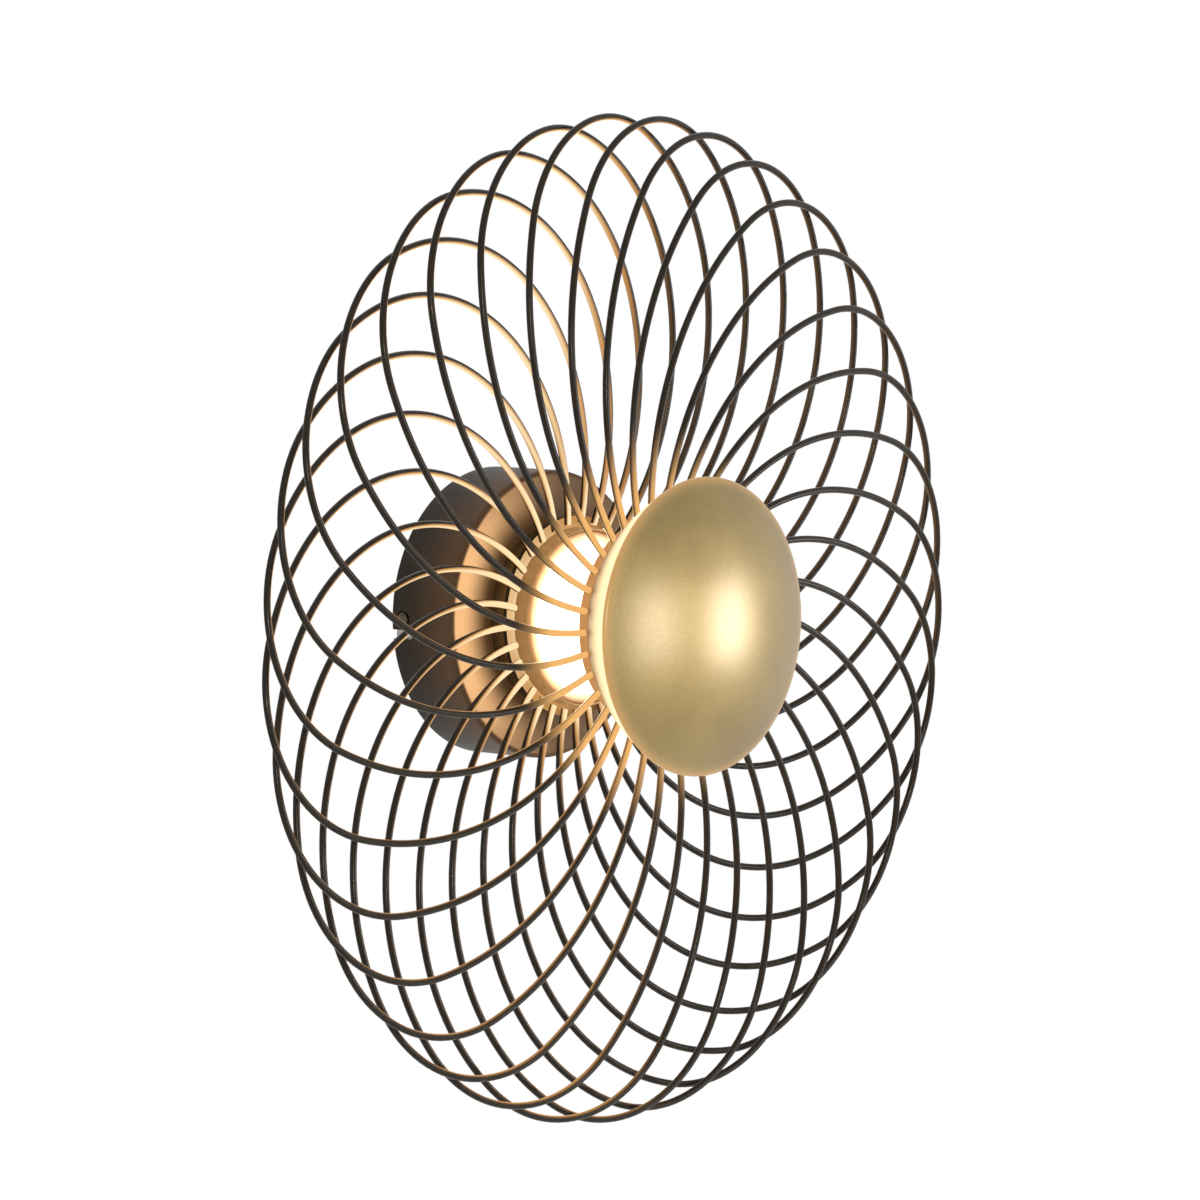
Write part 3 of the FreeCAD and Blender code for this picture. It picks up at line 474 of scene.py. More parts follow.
@dataclass(frozen=True)
class SatinPaint(Finish):
    """Dark sprayed paint with a faint orange peel and fine metal dust.

    The warm light of the disc lamp is painted into the finish as emission, so it stays with the lamp under
    any studio:
    reach is how far the painted light carries, glow the even painted glow and face the strength of the
    painted crescent.
    """

    deep: Colour = (0.028, 0.0192, 0.0118)
    light: Colour = (0.038, 0.0262, 0.0162)
    cloud_size: float = 9.0 * MM
    cloud_level: Ramp = Ramp(0.35, 0.7)
    dust: Colour = (0.09, 0.062, 0.036)
    dust_size: float = 0.28 * MM
    dust_level: Ramp = Ramp(0.86, 0.99, 0.0, 0.5)
    roughness: float = 0.45
    specular: float = 0.05
    peel_size: float = 0.9 * MM
    peel: float = 0.012 * MM
    # The fields from here paint the disc lamp's light onto the finish as emission.
    reach: float = 0.0
    glow: Optional[NearLight] = None
    face: float = 0.0
    face_light_colour: Colour = (1.0, 0.56, 0.25)

    def lamp_glow(self, graph: ShaderGraph) -> Optional[Val]:
        """The lamp's light, painted on the paint as emission.

        Args:
            graph: the material's nodes.

        Returns:
            The light, or nothing where the finish takes none.
        """
        light: Any = BLACK
        if self.reach:
            light = LampLight().on(graph, self.reach)
        if self.glow:
            light = graph.mix(self.glow.share(graph), light, self.glow.colour)
        if self.face:
            light = graph.mix(FaceLight().share(graph) * self.face, light, self.face_light_colour)
        return light if isinstance(light, Val) else None

    def paint(self, graph: ShaderGraph) -> None:
        """Write the finish's nodes.

        Args:
            graph: the material's nodes.
        """
        cloud = graph.noise(self.cloud_size, 4, 0.6)
        peel = graph.noise(self.peel_size, 2, 0.4)
        dust = self.dust_level.of(graph.flakes(self.dust_size))
        colour = graph.mix(self.cloud_level.of(cloud), self.deep, self.light)
        light = self.lamp_glow(graph)
        # The painted lamp light goes in as emission.
        warm: Inputs = {"Emission Color": light, "Emission Strength": 1.0} if light else {}
        graph.surface({
            **warm,
            "Base Color": graph.mix(dust, colour, self.dust),
            "Metallic": dust,
            "Roughness": self.roughness + (cloud - 0.5) * 0.10 - dust * 0.16,
            "Specular IOR Level": self.specular,
            "Normal": graph.bump(peel, self.peel),
        })


@dataclass(frozen=True)
class FlakeGold(Finish):
    """Satin champagne gold lacquer with a fine sparkle.

    Along the depth its colour may sink into a painted shade towards the root, and the lamp's light may be
    painted on it as emission.
    """

    warm: Colour = (0.202, 0.129, 0.023)
    pale: Colour = (0.232, 0.152, 0.031)
    cloud_size: float = 22.0 * MM
    cloud_level: Ramp = Ramp(0.3, 0.7)
    # Painted shade: the colour darkens towards the root.
    root: Colour = (0.12, 0.06, 0.02)
    root_level: Optional[Ramp] = None
    spark: Colour = (0.50, 0.40, 0.22)
    spark_level: Ramp = Ramp(0.80, 1.0)
    spark_share: float = 0.22
    flake_size: float = 0.25 * MM
    flake_height: float = 0.004 * MM
    peel_size: float = 1.3 * MM
    peel: float = 0.012 * MM
    metallic: float = 0.85
    roughness: float = 0.40
    coat: float = 0.85
    coat_roughness: float = 0.27
    coat_ior: float = 1.62
    # The lit fields paint the lamp's light on as emission.
    lit_level: Optional[Ramp] = None
    lit: float = 1.0
    lit_colour: Colour = (1.0, 0.50, 0.17)

    def paint(self, graph: ShaderGraph) -> None:
        """Write the finish's nodes.

        Args:
            graph: the material's nodes.
        """
        _, depth, _ = graph.axes()
        cloud = graph.noise(self.cloud_size, 3, 0.5)
        peel = graph.noise(self.peel_size, 2, 0.4)
        chance = graph.flakes(self.flake_size)
        spark = self.spark_level.of(chance)
        colour = graph.mix(self.cloud_level.of(cloud), self.warm, self.pale)
        colour = graph.mix(spark * self.spark_share, colour, self.spark)
        # Painted shade towards the root.
        if self.root_level:
            colour = graph.mix(self.root_level.of(depth), self.root, colour)
        normal = graph.bump(chance, self.flake_height, 0.5)
        normal = graph.bump(peel, self.peel, 1.0, normal)
        # Painted lamp light, as emission.
        glow: Inputs = {}
        if self.lit_level:
            share = self.lit_level.of(depth)
            glow = {"Emission Color": graph.mix(share * share, BLACK, self.lit_colour),
                    "Emission Strength": self.lit}
        graph.surface({
            **glow,
            "Base Color": colour,
            "Metallic": self.metallic,
            "Roughness": self.roughness + (cloud - 0.5) * 0.06 - spark * 0.08,
            "Specular IOR Level": 0.3,
            "Coat Weight": self.coat,
            "Coat Roughness": self.coat_roughness,
            "Coat IOR": self.coat_ior,
            "Normal": normal,
        })


@dataclass(frozen=True)
class BareMetal(Finish):
    """Plated or turned metal with fine scratches along its length."""

    bright: Colour = (0.62, 0.62, 0.63)
    dull: Colour = (0.42, 0.42, 0.43)
    cloud_size: float = 4.0 * MM
    cloud_level: Ramp = Ramp(0.3, 0.75)
    roughness: float = 0.32
    grain: float = 0.25 * MM
    drawn_out: float = 0.06
    scratch: float = 0.01 * MM

    def paint(self, graph: ShaderGraph) -> None:
        """Write the finish's nodes.

        Args:
            graph: the material's nodes.
        """
        cloud = graph.noise(self.cloud_size, 4, 0.6)
        x, depth, z = graph.axes()
        streaks = graph.noise(self.grain, 2, 0.6, graph.vector(x * self.drawn_out, depth, z))
        graph.surface({
            "Base Color": graph.mix(self.cloud_level.of(cloud), self.dull, self.bright),
            "Metallic": 1.0,
            "Roughness": self.roughness + (streaks - 0.5) * 0.2 + (cloud - 0.5) * 0.12,
            "Normal": graph.bump(streaks, self.scratch, 0.5),
        })


@dataclass(frozen=True)
class Moulded(Finish):
    """Moulded plastic or rubber with a fine grain."""

    colour: Colour = (0.8, 0.79, 0.75)
    shade: Colour = (0.72, 0.70, 0.66)
    cloud_size: float = 12.0 * MM
    cloud_level: Ramp = Ramp(0.35, 0.7)
    roughness: float = 0.5
    grain: float = 0.5 * MM
    depth: float = 0.02 * MM

    def paint(self, graph: ShaderGraph) -> None:
        """Write the finish's nodes.

        Args:
            graph: the material's nodes.
        """
        cloud = graph.noise(self.cloud_size, 3, 0.5)
        grain = graph.noise(self.grain, 3, 0.55)
        graph.surface({
            "Base Color": graph.mix(self.cloud_level.of(cloud), self.shade, self.colour),
            "Roughness": self.roughness + (grain - 0.5) * 0.12,
            "Normal": graph.bump(grain, self.depth),
        })


@dataclass(frozen=True)
class LitOpal(Finish):
    """Opal diffuser, lit from inside, with an amber edge and a dull border."""

    glow: Colour = (1.0, 0.86, 0.62)
    amber: Colour = (0.17, 0.10, 0.045)
    border: Colour = (0.035, 0.017, 0.0055)
    cloud: Colour = (1.0, 0.8, 0.55)
    opal: Colour = (0.93, 0.90, 0.84)
    opal_shade: Colour = (0.86, 0.84, 0.79)
    rim: Colour = (0.28, 0.18, 0.08)
    strength: float = 6.0
    grain_size: float = 0.8 * MM
    grain_level: Ramp = Ramp(0.3, 0.8, 0.0, 0.06)
    grain_height: float = 0.01 * MM
    lit_edge: Ramp = Ramp(32.2 * MM, 33.4 * MM)
    dull_edge: Ramp = Ramp(33.4 * MM, 37.2 * MM)

    def paint(self, graph: ShaderGraph) -> None:
        """Write the finish's nodes.

        Args:
            graph: the material's nodes.
        """
        away = graph.away()
        grain = graph.noise(self.grain_size, 2)
        rim = self.dull_edge.of(away)
        glow = graph.mix(self.grain_level.of(grain), self.glow, self.cloud)
        glow = graph.mix(self.lit_edge.of(away), glow, self.amber)
        opal = graph.mix(grain, self.opal, self.opal_shade)
        graph.surface({
            "Base Color": graph.mix(rim, opal, self.rim),
            "Roughness": 0.35 + grain * 0.1,
            "Emission Color": graph.mix(rim, glow, self.border),
            "Emission Strength": self.strength,
            "Normal": graph.bump(grain, self.grain_height),
        })


class Finishes:
    """The sconce's finishes."""

    bronze = SatinPaint("bronze_paint")
    # Painted warm light on the canopy's side, rising towards the front, and a painted crescent of lamp light
    # on its face.
    canopy = SatinPaint(
        "canopy_paint", deep=(0.022, 0.0148, 0.0088), light=(0.030, 0.0204, 0.0122), specular=0.14,
        face=0.95,
        glow=NearLight(0.06, (1.0, 0.45, 0.16), near=100.0 * MM, far=200.0 * MM,
                       back=4.0 * MM, front=38.0 * MM))
    # Painted lamp light and a painted crescent on the rear ring.
    rear_ring = SatinPaint("rear_ring_paint", reach=80.0 * MM, face=1.5, face_light_colour=(1.0, 0.78, 0.46))
    # Painted lamp light and an even painted glow on the front ring.
    front_ring = SatinPaint(
        "front_ring_paint", reach=150.0 * MM,
        glow=NearLight(0.55, (1.0, 0.46, 0.16), near=60.0 * MM, far=100.0 * MM))
    # Painted lamp light on the wires, and an even painted glow near the front ring, stronger on the left.
    wire = SatinPaint(
        "bronze_wire_paint", deep=(0.022, 0.0152, 0.0092), light=(0.030, 0.0208, 0.0128),
        dust=(0.055, 0.043, 0.032), dust_size=0.2 * MM, roughness=0.22, specular=0.15, reach=240.0 * MM,
        glow=NearLight(0.9, (0.90, 0.48, 0.16), near=48.0 * MM, far=88.0 * MM, turn=-0.4, left=1.9))
    # Painted orange glow along the dome's rim.
    gold = FlakeGold("champagne_gold", lit_level=Ramp(126.0 * MM, 122.0 * MM), lit=0.45)
    # Painted shade darkens the pan's root, and painted lamp light brightens it towards the rim.
    pan = FlakeGold("pan_gold", warm=(0.40, 0.29, 0.13), pale=(0.46, 0.35, 0.17), metallic=0.25,
                    roughness=0.5, coat=0.0, root_level=Ramp(98.0 * MM, 112.0 * MM),
                    lit_level=Ramp(98.0 * MM, 117.0 * MM), lit_colour=(1.0, 0.80, 0.50))
    # Painted glow on the cup towards its front.
    cup = FlakeGold("cup_gold", warm=(0.17, 0.11, 0.045), pale=(0.21, 0.14, 0.058), roughness=0.42,
                    coat=0.2, lit_level=Ramp(42.0 * MM, 52.0 * MM), lit=0.20, lit_colour=(1.0, 0.48, 0.16))
    zinc = BareMetal("zinc_plate", bright=(0.40, 0.385, 0.365), dull=(0.29, 0.28, 0.265), roughness=0.42)
    screw = BareMetal("side_screw_metal", bright=(0.16, 0.13, 0.10), dull=(0.05, 0.04, 0.03), roughness=0.3)
    brass = BareMetal("turned_brass", bright=(0.78, 0.58, 0.28), dull=(0.55, 0.38, 0.16))
    rubber = Moulded("black_rubber", colour=(0.03, 0.03, 0.03), shade=(0.02, 0.02, 0.02), roughness=0.7)
    white = Moulded("white_plastic")
    holder = Moulded("holder_plastic", colour=(0.82, 0.80, 0.74), shade=(0.74, 0.71, 0.64))
    board = Moulded("white_board", colour=(0.80, 0.80, 0.78), shade=(0.70, 0.70, 0.67), roughness=0.35)
    live = Moulded("brown_jacket", colour=(0.20, 0.09, 0.04), shade=(0.15, 0.065, 0.03), roughness=0.45)
    neutral = Moulded("blue_jacket", colour=(0.05, 0.14, 0.42), shade=(0.035, 0.10, 0.32), roughness=0.45)
    opal = LitOpal("lit_opal")


def put(name: str, data: bpy.types.ID) -> bpy.types.Object:
    """Put a new object into the scene.

    Args:
        name: of the object.
        data: its mesh, curve, light or camera.

    Returns:
        The object.
    """
    made = bpy.data.objects.new(name, data)
    bpy.context.scene.collection.objects.link(made)
    return made


def dress(node: str, finish: Finish) -> None:
    """Give a CAD node its finish.

    Args:
        node: the node's name.
        finish: what it is painted with.
    """
    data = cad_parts[node].data
    data.materials.clear()
    data.materials.append(finish.material())
    LOG.info("%s: %s", node, finish.name)


def add_piece(name: str, mesh: bpy.types.ID, body: Body, slot: Slot,
              stands_for: Sequence[str]) -> bpy.types.Object:
    """Put a finished mesh or curve into the scene.

    Args:
        name: the piece's name.
        mesh: its data, already in place.
        body: what it rides on.
        slot: the record's slot; not used.
        stands_for: CAD nodes that it replaces.

    Returns:
        The piece.
    """
    piece = put(name, mesh)
    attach(piece, body.value)
    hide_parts(*stands_for)
    LOG.info("%s: rides on %s, stands for %d nodes", name, body.value, len(stands_for))
    return piece


class ShapeGraph(Graph):
    """A Geometry Nodes tree with named inputs."""

    KINDS: Dict[type, str] = {int: "NodeSocketInt", float: "NodeSocketFloat"}

    def __init__(self, name: str, sizes: Dict[str, Number]) -> None:
        """Start a tree with one input for each size.

        Args:
            name: the tree's name.
            sizes: the inputs and their values; whole numbers stay whole.
        """
        super().__init__(bpy.data.node_groups.new(name, "GeometryNodeTree"))
        self.sizes = sizes
        self.identifiers: Dict[str, str] = {}
        for key, value in sizes.items():
            made = self.tree.interface.new_socket(key, in_out="INPUT", socket_type=self.KINDS[type(value)])
            self.identifiers[key] = made.identifier
        self.tree.interface.new_socket("Geometry", in_out="OUTPUT", socket_type="NodeSocketGeometry")
        self.start = self.tree.nodes.new("NodeGroupInput")

    def given(self, key: str) -> Val:
        """One of the named inputs as a value."""
        return self.value(self.start, self.identifiers[key])

    def bake(self, geometry: Val, finish: Finish) -> bpy.types.Mesh:
        """End the tree, run it once and keep the plain mesh.

        Args:
            geometry: what the tree has made.
            finish: of the whole mesh.

        Returns:
            The mesh.
        """
        real = self.node("GeometryNodeRealizeInstances", {0: geometry})
        smooth = self.node("GeometryNodeSetShadeSmooth", {0: self.value(real)})
        ends = self.node("GeometryNodeSetMaterial",
                         {"Geometry": self.value(smooth), "Material": finish.material()})
        self.node("NodeGroupOutput", {0: self.value(ends)})
        holder = put("maker", bpy.data.meshes.new("maker"))
        modifier = holder.modifiers.new("maker", "NODES")
        modifier.node_group = self.tree
        for key, value in self.sizes.items():
            modifier[self.identifiers[key]] = value
        graph = bpy.context.evaluated_depsgraph_get()
        mesh = bpy.data.meshes.new_from_object(holder.evaluated_get(graph))
        bpy.data.objects.remove(holder)
        bpy.data.node_groups.remove(self.tree)
        return mesh


@dataclass
class Cage:
    """The wire loops, each one wire from the rear ring out and round to the front ring.

    A loop's line has three arcs: the rear flank, the tip and the front flank. The loops stand a little
    closer towards the crowding side, as hand-set wires do.
    """

    loops: int = 32
    points: int = 121
    sides: int = 14
    wire_radius: float = 1.5 * MM
    rear_end_radius: float = 40.5 * MM
    front_end_radius: float = 44.1 * MM
    tip_arc_place: float = 154.7 * MM
    tip_radius: float = 60.3 * MM
    rear_flank_radius: float = 106.0 * MM
    front_flank_radius: float = 144.0 * MM
    rear_join: float = math.radians(31.0)
    front_join: float = math.radians(70.5)
    rear_depth: float = 50.55 * MM
    front_depth: float = 93.8 * MM
    bow: float = 3.0 * MM
    sway: float = 3.5 * MM
    first_angle: float = math.radians(17.0)
    crowding: float = math.radians(2.8)
    crowding_side: float = math.radians(47.0)
    second_crowding: float = math.radians(1.0)
    second_side: float = math.radians(121.0)

    def sizes(self) -> Dict[str, Number]:
        """The tree's inputs."""
        return {key.replace("_", " "): value for key, value in vars(self).items()}

    @staticmethod
    def meets(graph: ShapeGraph, centre: Tuple[Val, Val], radius: Val, ring: Val, way: int) -> Val:
        """The angle on an arc at which it meets a ring about the lamp's axis.

        Args:
            graph: the tree.
            centre: the arc's centre.
            radius: the arc's radius.
            ring: the ring's radius.
            way: which of the two meetings.

        Returns:
            The angle.
        """
        away = (centre[0] * centre[0] + centre[1] * centre[1]).sqrt()
        share = (ring * ring - away * away - radius * radius) / (2 * away * radius)
        return graph.maths("ARCTAN2", centre[1], centre[0]) + way * share.acos()

    def line(self, graph: ShapeGraph, share: Val) -> Tuple[Val, Val, Val]:
        """The centre line of a loop that leans out along +X.

        Args:
            graph: the tree.
            share: 0 at the rear end to 1 at the front end.

        Returns:
            The point's three coordinates.
        """
        given = graph.given
        tip = given("tip radius")
        centres = []
        for radius, join in ((given("rear flank radius"), -given("rear join")),
                             (given("front flank radius"), given("front join"))):
            gap = tip - radius
            centres.append((given("tip arc place") + join.cos() * gap, join.sin() * gap))
        rear, front = given("rear flank radius"), given("front flank radius")
        first = self.meets(graph, centres[0], rear, given("rear end radius"), -1)
        last = self.meets(graph, centres[1], front, given("front end radius"), 1)
        rear_length = rear * (-given("rear join") - first)
        tip_length = tip * (given("rear join") + given("front join"))
        front_length = front * (last - given("front join"))
        along = share * (rear_length + tip_length + front_length)
        at_rear = along < rear_length
        at_front = along > rear_length + tip_length
        turn = at_rear.either(first + along / rear, at_front.either(
            given("front join") + (along - rear_length - tip_length) / front,
            (along - rear_length) / tip - given("rear join")))
        across = at_rear.either(centres[0][0], at_front.either(centres[1][0], given("tip arc place")))
        up = at_rear.either(centres[0][1], at_front * centres[1][1])
        radius = at_rear.either(rear, at_front.either(front, tip))
        rise = given("front depth") - given("rear depth")
        depth = given("rear depth") + rise * share + given("bow") * (share * math.pi).sin() \
            - given("sway") * (share * (2 * math.pi)).sin()
        return across + radius * turn.cos(), -depth, up + radius * turn.sin()

    def build(self) -> bpy.types.Mesh:
        """Make all the loops as one mesh.

        Returns:
            The mesh.
        """
        graph = ShapeGraph("cage_of_loops", self.sizes())
        given = graph.given
        straight = graph.node("GeometryNodeCurvePrimitiveLine")
        spread = graph.node("GeometryNodeResampleCurve",
                            {"Curve": graph.value(straight), "Count": given("points")})
        share = graph.value(graph.node("GeometryNodeSplineParameter"), "Factor")
        kept = graph.node("GeometryNodeStoreNamedAttribute",
                          {"Geometry": graph.value(spread), "Name": "along", "Value": share},
                          data_type="FLOAT", domain="POINT")
        place = graph.vector(*self.line(graph, share))
        bent = graph.node("GeometryNodeSetPosition", {"Geometry": graph.value(kept), "Position": place})
        section = graph.node("GeometryNodeCurvePrimitiveCircle",
                             {"Resolution": given("sides"), "Radius": given("wire radius")}, mode="RADIUS")
        wire = graph.node("GeometryNodeCurveToMesh", {
            "Curve": graph.value(bent), "Profile Curve": graph.value(section), "Fill Caps": True})
        number = graph.value(graph.node("GeometryNodeInputIndex"))
        even = number * (2 * math.pi) / given("loops")
        crowd = given("crowding") * (even - given("crowding side")).cos() \
            + given("second crowding") * (2 * (even - given("second side"))).cos()
        turn = graph.node("FunctionNodeEulerToRotation",
                          {0: graph.vector(0.0, crowd - even - given("first angle"), 0.0)})
        seats = graph.node("GeometryNodePoints", {"Count": given("loops")})
        ring = graph.node("GeometryNodeInstanceOnPoints", {
            "Points": graph.value(seats), "Instance": graph.value(wire), "Rotation": graph.value(turn)})
        return graph.bake(graph.value(ring), Finishes.wire)

    def dress(self) -> None:
        """Put the cage and its rings into the scene."""
        nodes = ["wire_loop_%02d" % (number + 1) for number in range(self.loops)]
        add_piece("wire_cage", self.build(), Body.BASE, Slot.BRONZE, nodes)
        dress("rear_ring", Finishes.rear_ring)
        dress("front_ring", Finishes.front_ring)


@dataclass
class Base:
    """Canopy, bracket, terminals, cup and lamp holder.

    The leads' points are depth and height in millimetres.
    """

    lead_radius: float = 1.0 * MM
    lead_side: float = 10.0 * MM
    lead_points: Tuple[Tuple[float, float], ...] = (
        (29.75, 6.0), (24.0, 6.0), (14.0, 6.0), (8.5, 1.0), (8.5, -8.0), (8.5, -17.0))
    lead_rounding: int = 4
    lead_steps: int = 12

    def lead(self, name: str, side: int, slot: Slot, finish: Finish) -> None:
        """Lay one lead from the lamp holder to the terminal block.

        Args:
            name: the CAD node that it stands for.
            side: which side of the middle it is on.
            slot: the record's slot.
            finish: of its jacket.
        """
        curve = bpy.data.curves.new(name + "_line", "CURVE")
        curve.dimensions = "3D"
        curve.bevel_depth = self.lead_radius
        curve.bevel_resolution = self.lead_rounding
        curve.resolution_u = self.lead_steps
        curve.use_fill_caps = True
        route = [Vector((side * self.lead_side, -depth * MM, up * MM)) for depth, up in self.lead_points]
        spline = curve.splines.new("NURBS")
        spline.points.add(len(route) - 1)
        for point, spot in zip(spline.points, route):
            point.co = (*spot, 1.0)
        spline.order_u = 3
        spline.use_endpoint_u = True
        curve.materials.append(finish.material())
        piece = add_piece(name + "_jacket", curve, Body.BASE, slot, [name])
        depth, up = self.lead_points[0]

    def dress(self) -> None:
        """Dress the base's nodes and lay its leads."""
        for nodes, finish in (
            (("canopy",), Finishes.canopy),
            (("canopy_screws",), Finishes.screw),
            (("lamp_cup",), Finishes.cup),
            (("wall_bracket", "cup_screws", "holder_screws", "terminal_fixing"), Finishes.zinc),
            (("earth_screw", "earth_washer", "terminal_tubes", "terminal_screws", "holder_contacts"),
             Finishes.brass),
            (("cable_bush",), Finishes.rubber),
            (("terminal_block",), Finishes.white),
            (("lamp_holder",), Finishes.holder),
        ):
            for node in nodes:
                dress(node, finish)
        self.lead("live_lead", -1, Slot.LIVE, Finishes.live)
        self.lead("neutral_lead", 1, Slot.NEUTRAL, Finishes.neutral)


class Lamp:
    """The flat disc lamp."""

    def dress(self) -> None:
        """Dress the lamp's nodes."""
        for node, finish in (("lamp_body", Finishes.white), ("lamp_pins", Finishes.brass),
                             ("lamp_board", Finishes.board), ("lamp_driver", Finishes.board),
                             ("lamp_diffuser", Finishes.opal)):
            dress(node, finish)


@dataclass
class Dome:
    """The gold dome with its pan and bayonet collar."""

    radius: float = 63.5 * MM
    back: float = 121.5 * MM
    crown: float = 135.2 * MM
    wall: float = 1.0 * MM
    shoulder: float = 1.2 * MM
    shoulder_depth: float = 122.3 * MM
    fold: float = 0.3 * MM
    segments: int = 256
    cap_rings: int = 40
    round_rings: int = 10
    fold_rings: int = 4
    sharp: float = math.radians(40.0)

    @staticmethod
    def arc(centre: Tuple[float, float], radius: float, first: float, last: float,
            count: int) -> List[Tuple[float, float]]:
        """Points (radius, depth) on an arc between two angles, in degrees from straight into the room."""
        turns = [math.radians(first + (last - first) * step / count) for step in range(count + 1)]
        return [(centre[0] + radius * math.sin(turn), centre[1] + radius * math.cos(turn)) for turn in turns]

    def outline(self) -> List[Tuple[float, float]]:
        """The shell's section from the crown out, round the rim and back inside.

        Returns:
            Corners as (radius, depth).
        """
        reach = self.radius - self.shoulder
        drop = self.crown - self.shoulder_depth
        sphere = (reach ** 2 + drop ** 2 - self.shoulder ** 2) / (2 * (drop - self.shoulder))
        middle = self.crown - sphere
        lean = math.degrees(math.asin(reach / (sphere - self.shoulder)))
        cap = self.arc((0.0, middle), sphere, 0.0, lean, self.cap_rings)
        shoulder = self.arc((reach, self.shoulder_depth), self.shoulder, lean, 90.0, self.round_rings)
        hem = self.arc((self.radius - self.fold, self.back + self.fold), self.fold, 90.0, 180.0,
                       self.fold_rings)
        inside = self.radius - self.wall
        inner = sphere - self.wall
        turn = math.degrees(math.asin((inside - self.shoulder) / inner))
        lining = self.arc((0.0, middle), inner, turn, 0.0, self.cap_rings // 2)
        return cap + shoulder[1:] + hem + [(inside, self.back), (inside, self.shoulder_depth)] + lining

    def shell(self) -> bpy.types.Mesh:
        """Turn the section about the lamp's axis.

        Returns:
            The closed mesh.
        """
        section = self.outline()
        middle = section[1:-1]
        count = len(middle)
        points = [(0.0, -section[0][1], 0.0), (0.0, -section[-1][1], 0.0)]
        faces: List[Tuple[int, ...]] = []
        for spoke in range(self.segments):
            turn = 2 * math.pi * spoke / self.segments
            points += [(r * math.cos(turn), -depth, r * math.sin(turn)) for r, depth in middle]
            here = 2 + spoke * count
            there = 2 + (spoke + 1) % self.segments * count
            faces.append((0, here, there))
            faces += [(here + n, here + n + 1, there + n + 1, there + n) for n in range(count - 1)]
            faces.append((1, there + count - 1, here + count - 1))
        mesh = bpy.data.meshes.new("dome_shell_spun")
        mesh.from_pydata(points, [], faces)
        work = bmesh.new()
        work.from_mesh(mesh)
        bmesh.ops.recalc_face_normals(work, faces=work.faces)
        for edge in work.edges:
            edge.smooth = edge.calc_face_angle(0.0) < self.sharp
        for face in work.faces:
            face.smooth = True
        work.to_mesh(mesh)
        work.free()
        mesh.materials.append(Finishes.gold.material())
        return mesh

    def dress(self) -> None:
        """Put the dome into the scene and dress its pan and collar."""
        add_piece("dome_shell_spun", self.shell(), Body.DOME, Slot.GOLD, ["dome_shell"])
        dress("dome_pan", Finishes.pan)
        dress("dome_collar", Finishes.bronze)


@dataclass(frozen=True)
class Softbox:
    """A rectangular soft light that looks at the object.

    The bearing is in degrees to the right of straight in front, the height of its centre, its distance and
    its sides are in metres, and the power is in watts.
    """

    name: str
    bearing: float
    height: float
    distance: float
    wide: float
    tall: float
    power: float

    def build(self) -> None:
        """Put the light into the scene."""
        data = bpy.data.lights.new(self.name, "AREA")
        data.shape = "RECTANGLE"
        data.size = self.wide
        data.size_y = self.tall
        data.energy = self.power
        light = put(self.name, data)
        turn = math.radians(self.bearing)
        spot = Vector((math.sin(turn) * self.distance, -math.cos(turn) * self.distance, self.height))
        light.location = spot
        light.rotation_mode = "QUATERNION"
        light.rotation_quaternion = (-spot).to_track_quat("-Z", "Y")


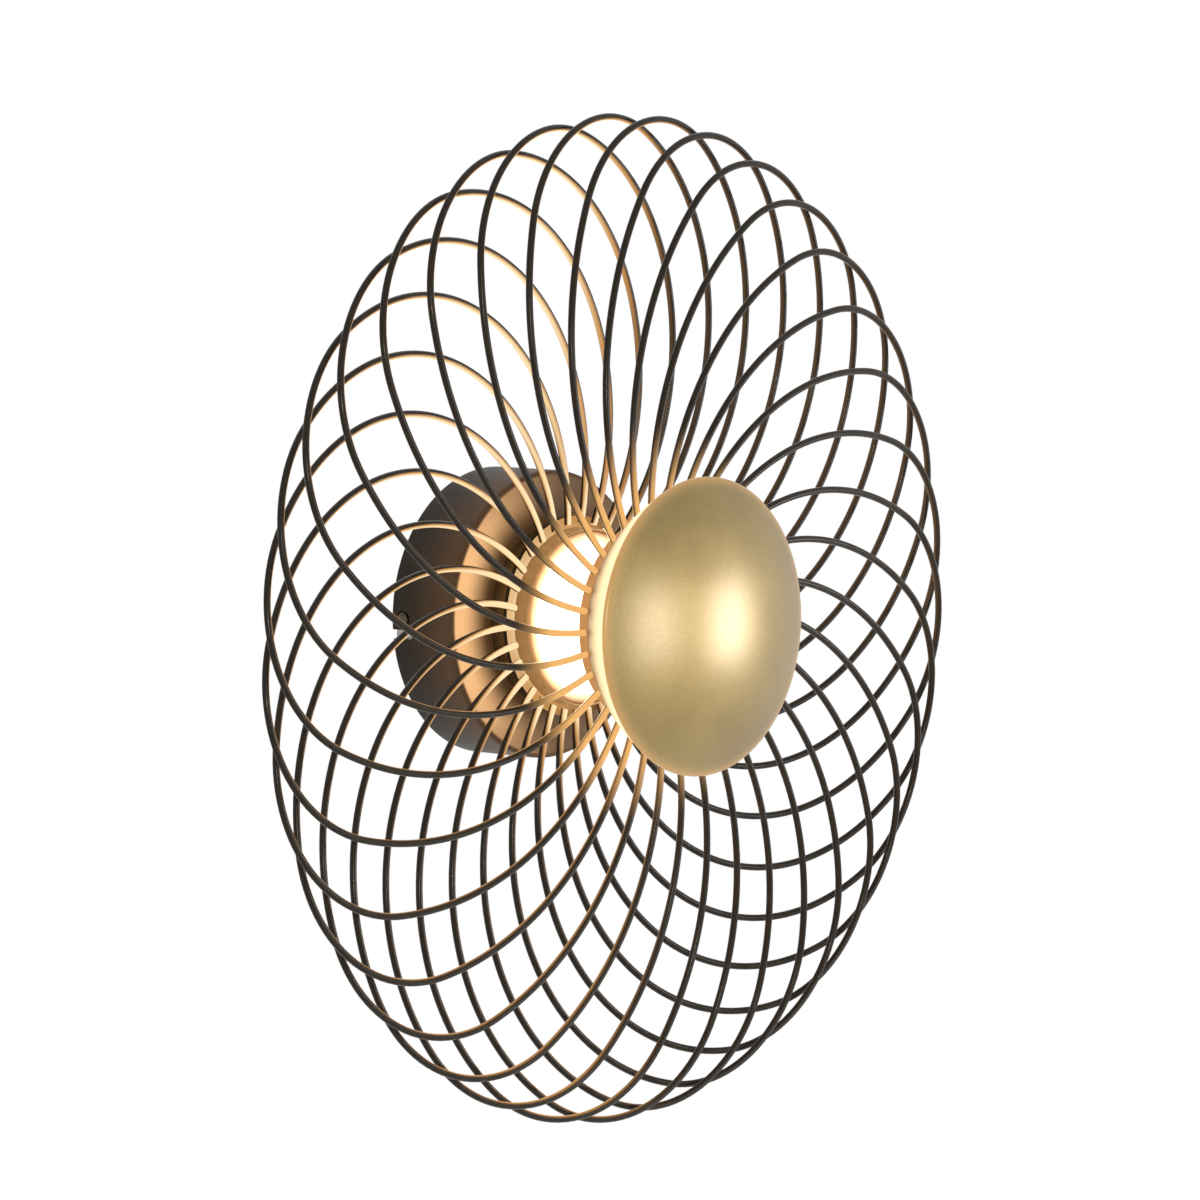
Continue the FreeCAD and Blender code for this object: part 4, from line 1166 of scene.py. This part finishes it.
@dataclass
class Studio:
    """Floor, world, lights and camera."""

    floor_depth: float = 0.90
    floor_radius: float = 2.4
    floor_segments: int = 96
    floor_colour: Colour = (0.9, 0.9, 0.89)
    floor_glow: float = 0.6
    fade_from: float = 0.35
    fade_to: float = 0.95
    distance: float = 2.5279
    azimuth: float = math.radians(-46.997)
    elevation: float = math.radians(5.045)
    yaw: float = math.radians(1.069)
    pitch: float = math.radians(0.093)
    focal_pixels: float = 5786.5
    frame_pixels: float = 1200.0
    sensor: float = 36.0
    clip_end: float = 50.0
    sky: float = 0.42
    sky_colour: Colour = (1.0, 0.985, 0.96)
    lamp_radius: float = 34.0 * MM
    lamp_front: float = 60.0 * MM
    lamp_power: float = 0.8
    lamp_colour: Colour = (1.0, 0.88, 0.68)
    boxes: Tuple[Softbox, ...] = (
        Softbox("right_box", bearing=48.0, height=-0.15, distance=2.2, wide=0.54, tall=0.54, power=12.6),
        Softbox("front_box", bearing=20.0, height=-0.13, distance=2.4, wide=0.52, tall=0.68, power=10.9),
        Softbox("side_box", bearing=-40.0, height=0.25, distance=2.3, wide=0.16, tall=0.16, power=10.0))

    def camera(self) -> None:
        """Set the photograph's view."""
        data = bpy.data.cameras.new("camera")
        data.sensor_width = self.sensor
        data.lens = self.focal_pixels / self.frame_pixels * self.sensor
        data.clip_end = self.clip_end
        camera = put("camera", data)
        level = math.cos(self.elevation)
        back = Vector((math.sin(self.azimuth) * level, -math.cos(self.azimuth) * level,
                       math.sin(self.elevation)))
        right = Vector((math.cos(self.azimuth), math.sin(self.azimuth), 0.0))
        up = back.cross(right)
        spot = back * self.distance
        side = right * math.cos(self.yaw) + back * math.sin(self.yaw)
        ahead = right * math.sin(self.yaw) - back * math.cos(self.yaw)
        top = up * math.cos(self.pitch) - ahead * math.sin(self.pitch)
        ahead = up * math.sin(self.pitch) + ahead * math.cos(self.pitch)
        camera.matrix_world = Matrix((
            (side.x, top.x, -ahead.x, spot.x),
            (side.y, top.y, -ahead.y, spot.y),
            (side.z, top.z, -ahead.z, spot.z),
            (0.0, 0.0, 0.0, 1.0)))
        bpy.context.scene.camera = camera

    @staticmethod
    def seen(graph: Graph) -> Val:
        """Find what sees the studio.

        Args:
            graph: the nodes of the world or the floor.

        Returns:
            One for rays from the camera, a reflection or glass, else zero.
        """
        path = graph.node("ShaderNodeLightPath")
        seen, gloss, glass = (graph.value(path, "Is %s Ray" % kind)
                              for kind in ("Camera", "Glossy", "Transmission"))
        return graph.maths("MAXIMUM", graph.maths("MAXIMUM", seen, gloss), glass)

    def world(self) -> None:
        """A white surround that lights the object softly."""
        world = bpy.data.worlds.new("studio")
        bpy.context.scene.world = world
        world.use_nodes = True
        graph = Graph(world.node_tree)
        graph.tree.nodes.clear()
        soft = graph.node("ShaderNodeBackground", {"Color": self.sky_colour, "Strength": self.sky})
        white = graph.node("ShaderNodeBackground", {"Color": WHITE, "Strength": 1.0})
        both = graph.node("ShaderNodeMixShader",
                          {0: self.seen(graph), 1: soft.outputs[0], 2: white.outputs[0]})
        graph.node("ShaderNodeOutputWorld", {"Surface": both.outputs[0]})

    def floor(self) -> None:
        """A round pale floor below the object that fades into the surround."""
        mesh = bpy.data.meshes.new("floor")
        work = bmesh.new()
        bmesh.ops.create_circle(work, cap_ends=True, segments=self.floor_segments, radius=self.floor_radius,
                                matrix=Matrix.Translation((0.0, 0.0, -self.floor_depth)))
        work.to_mesh(mesh)
        work.free()
        material = bpy.data.materials.new("pale_floor")
        graph = ShaderGraph(material)
        x, depth, _ = graph.axes()
        away = (x * x + depth * depth).sqrt() / self.floor_radius
        edge = graph.stretch(away, self.fade_from, self.fade_to)
        matt = graph.node("ShaderNodeBsdfDiffuse", {"Color": self.floor_colour})
        base = graph.node("ShaderNodeEmission",
                          {"Color": WHITE, "Strength": self.seen(graph) * self.floor_glow})
        lit = graph.node("ShaderNodeAddShader", {0: matt.outputs[0], 1: base.outputs[0]})
        white = graph.node("ShaderNodeEmission", {"Color": WHITE, "Strength": 1.0})
        both = graph.node("ShaderNodeMixShader",
                          {0: edge * self.seen(graph), 1: lit.outputs[0], 2: white.outputs[0]})
        graph.node("ShaderNodeOutputMaterial", {"Surface": both.outputs[0]})
        mesh.materials.append(material)
        piece = put("floor", mesh)

    def lamp_light(self) -> None:
        """The light that the opal disc throws, kept out of the gloss."""
        data = bpy.data.lights.new("lamp_light", "AREA")
        data.shape = "DISK"
        data.size = 2 * self.lamp_radius
        data.energy = self.lamp_power
        data.color = self.lamp_colour
        light = put("lamp_light", data)
        light.location = (0.0, -self.lamp_front, 0.0)
        light.rotation_euler = (-math.pi / 2, 0.0, 0.0)
        light.visible_camera = False
        light.visible_glossy = False

    def build(self) -> None:
        """Set the whole studio up."""
        bpy.context.scene.view_settings.view_transform = "Standard"
        self.camera()
        self.world()
        self.floor()
        for box in self.boxes:
            box.build()
        self.lamp_light()


def main() -> None:
    """Build the sconce's looks."""
    logging.basicConfig(level=logging.INFO, format="%(message)s")
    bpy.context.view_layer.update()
    Studio().build()
    Base().dress()
    Lamp().dress()
    Cage().dress()
    Dome().dress()


if __name__ == "__main__":
    main()
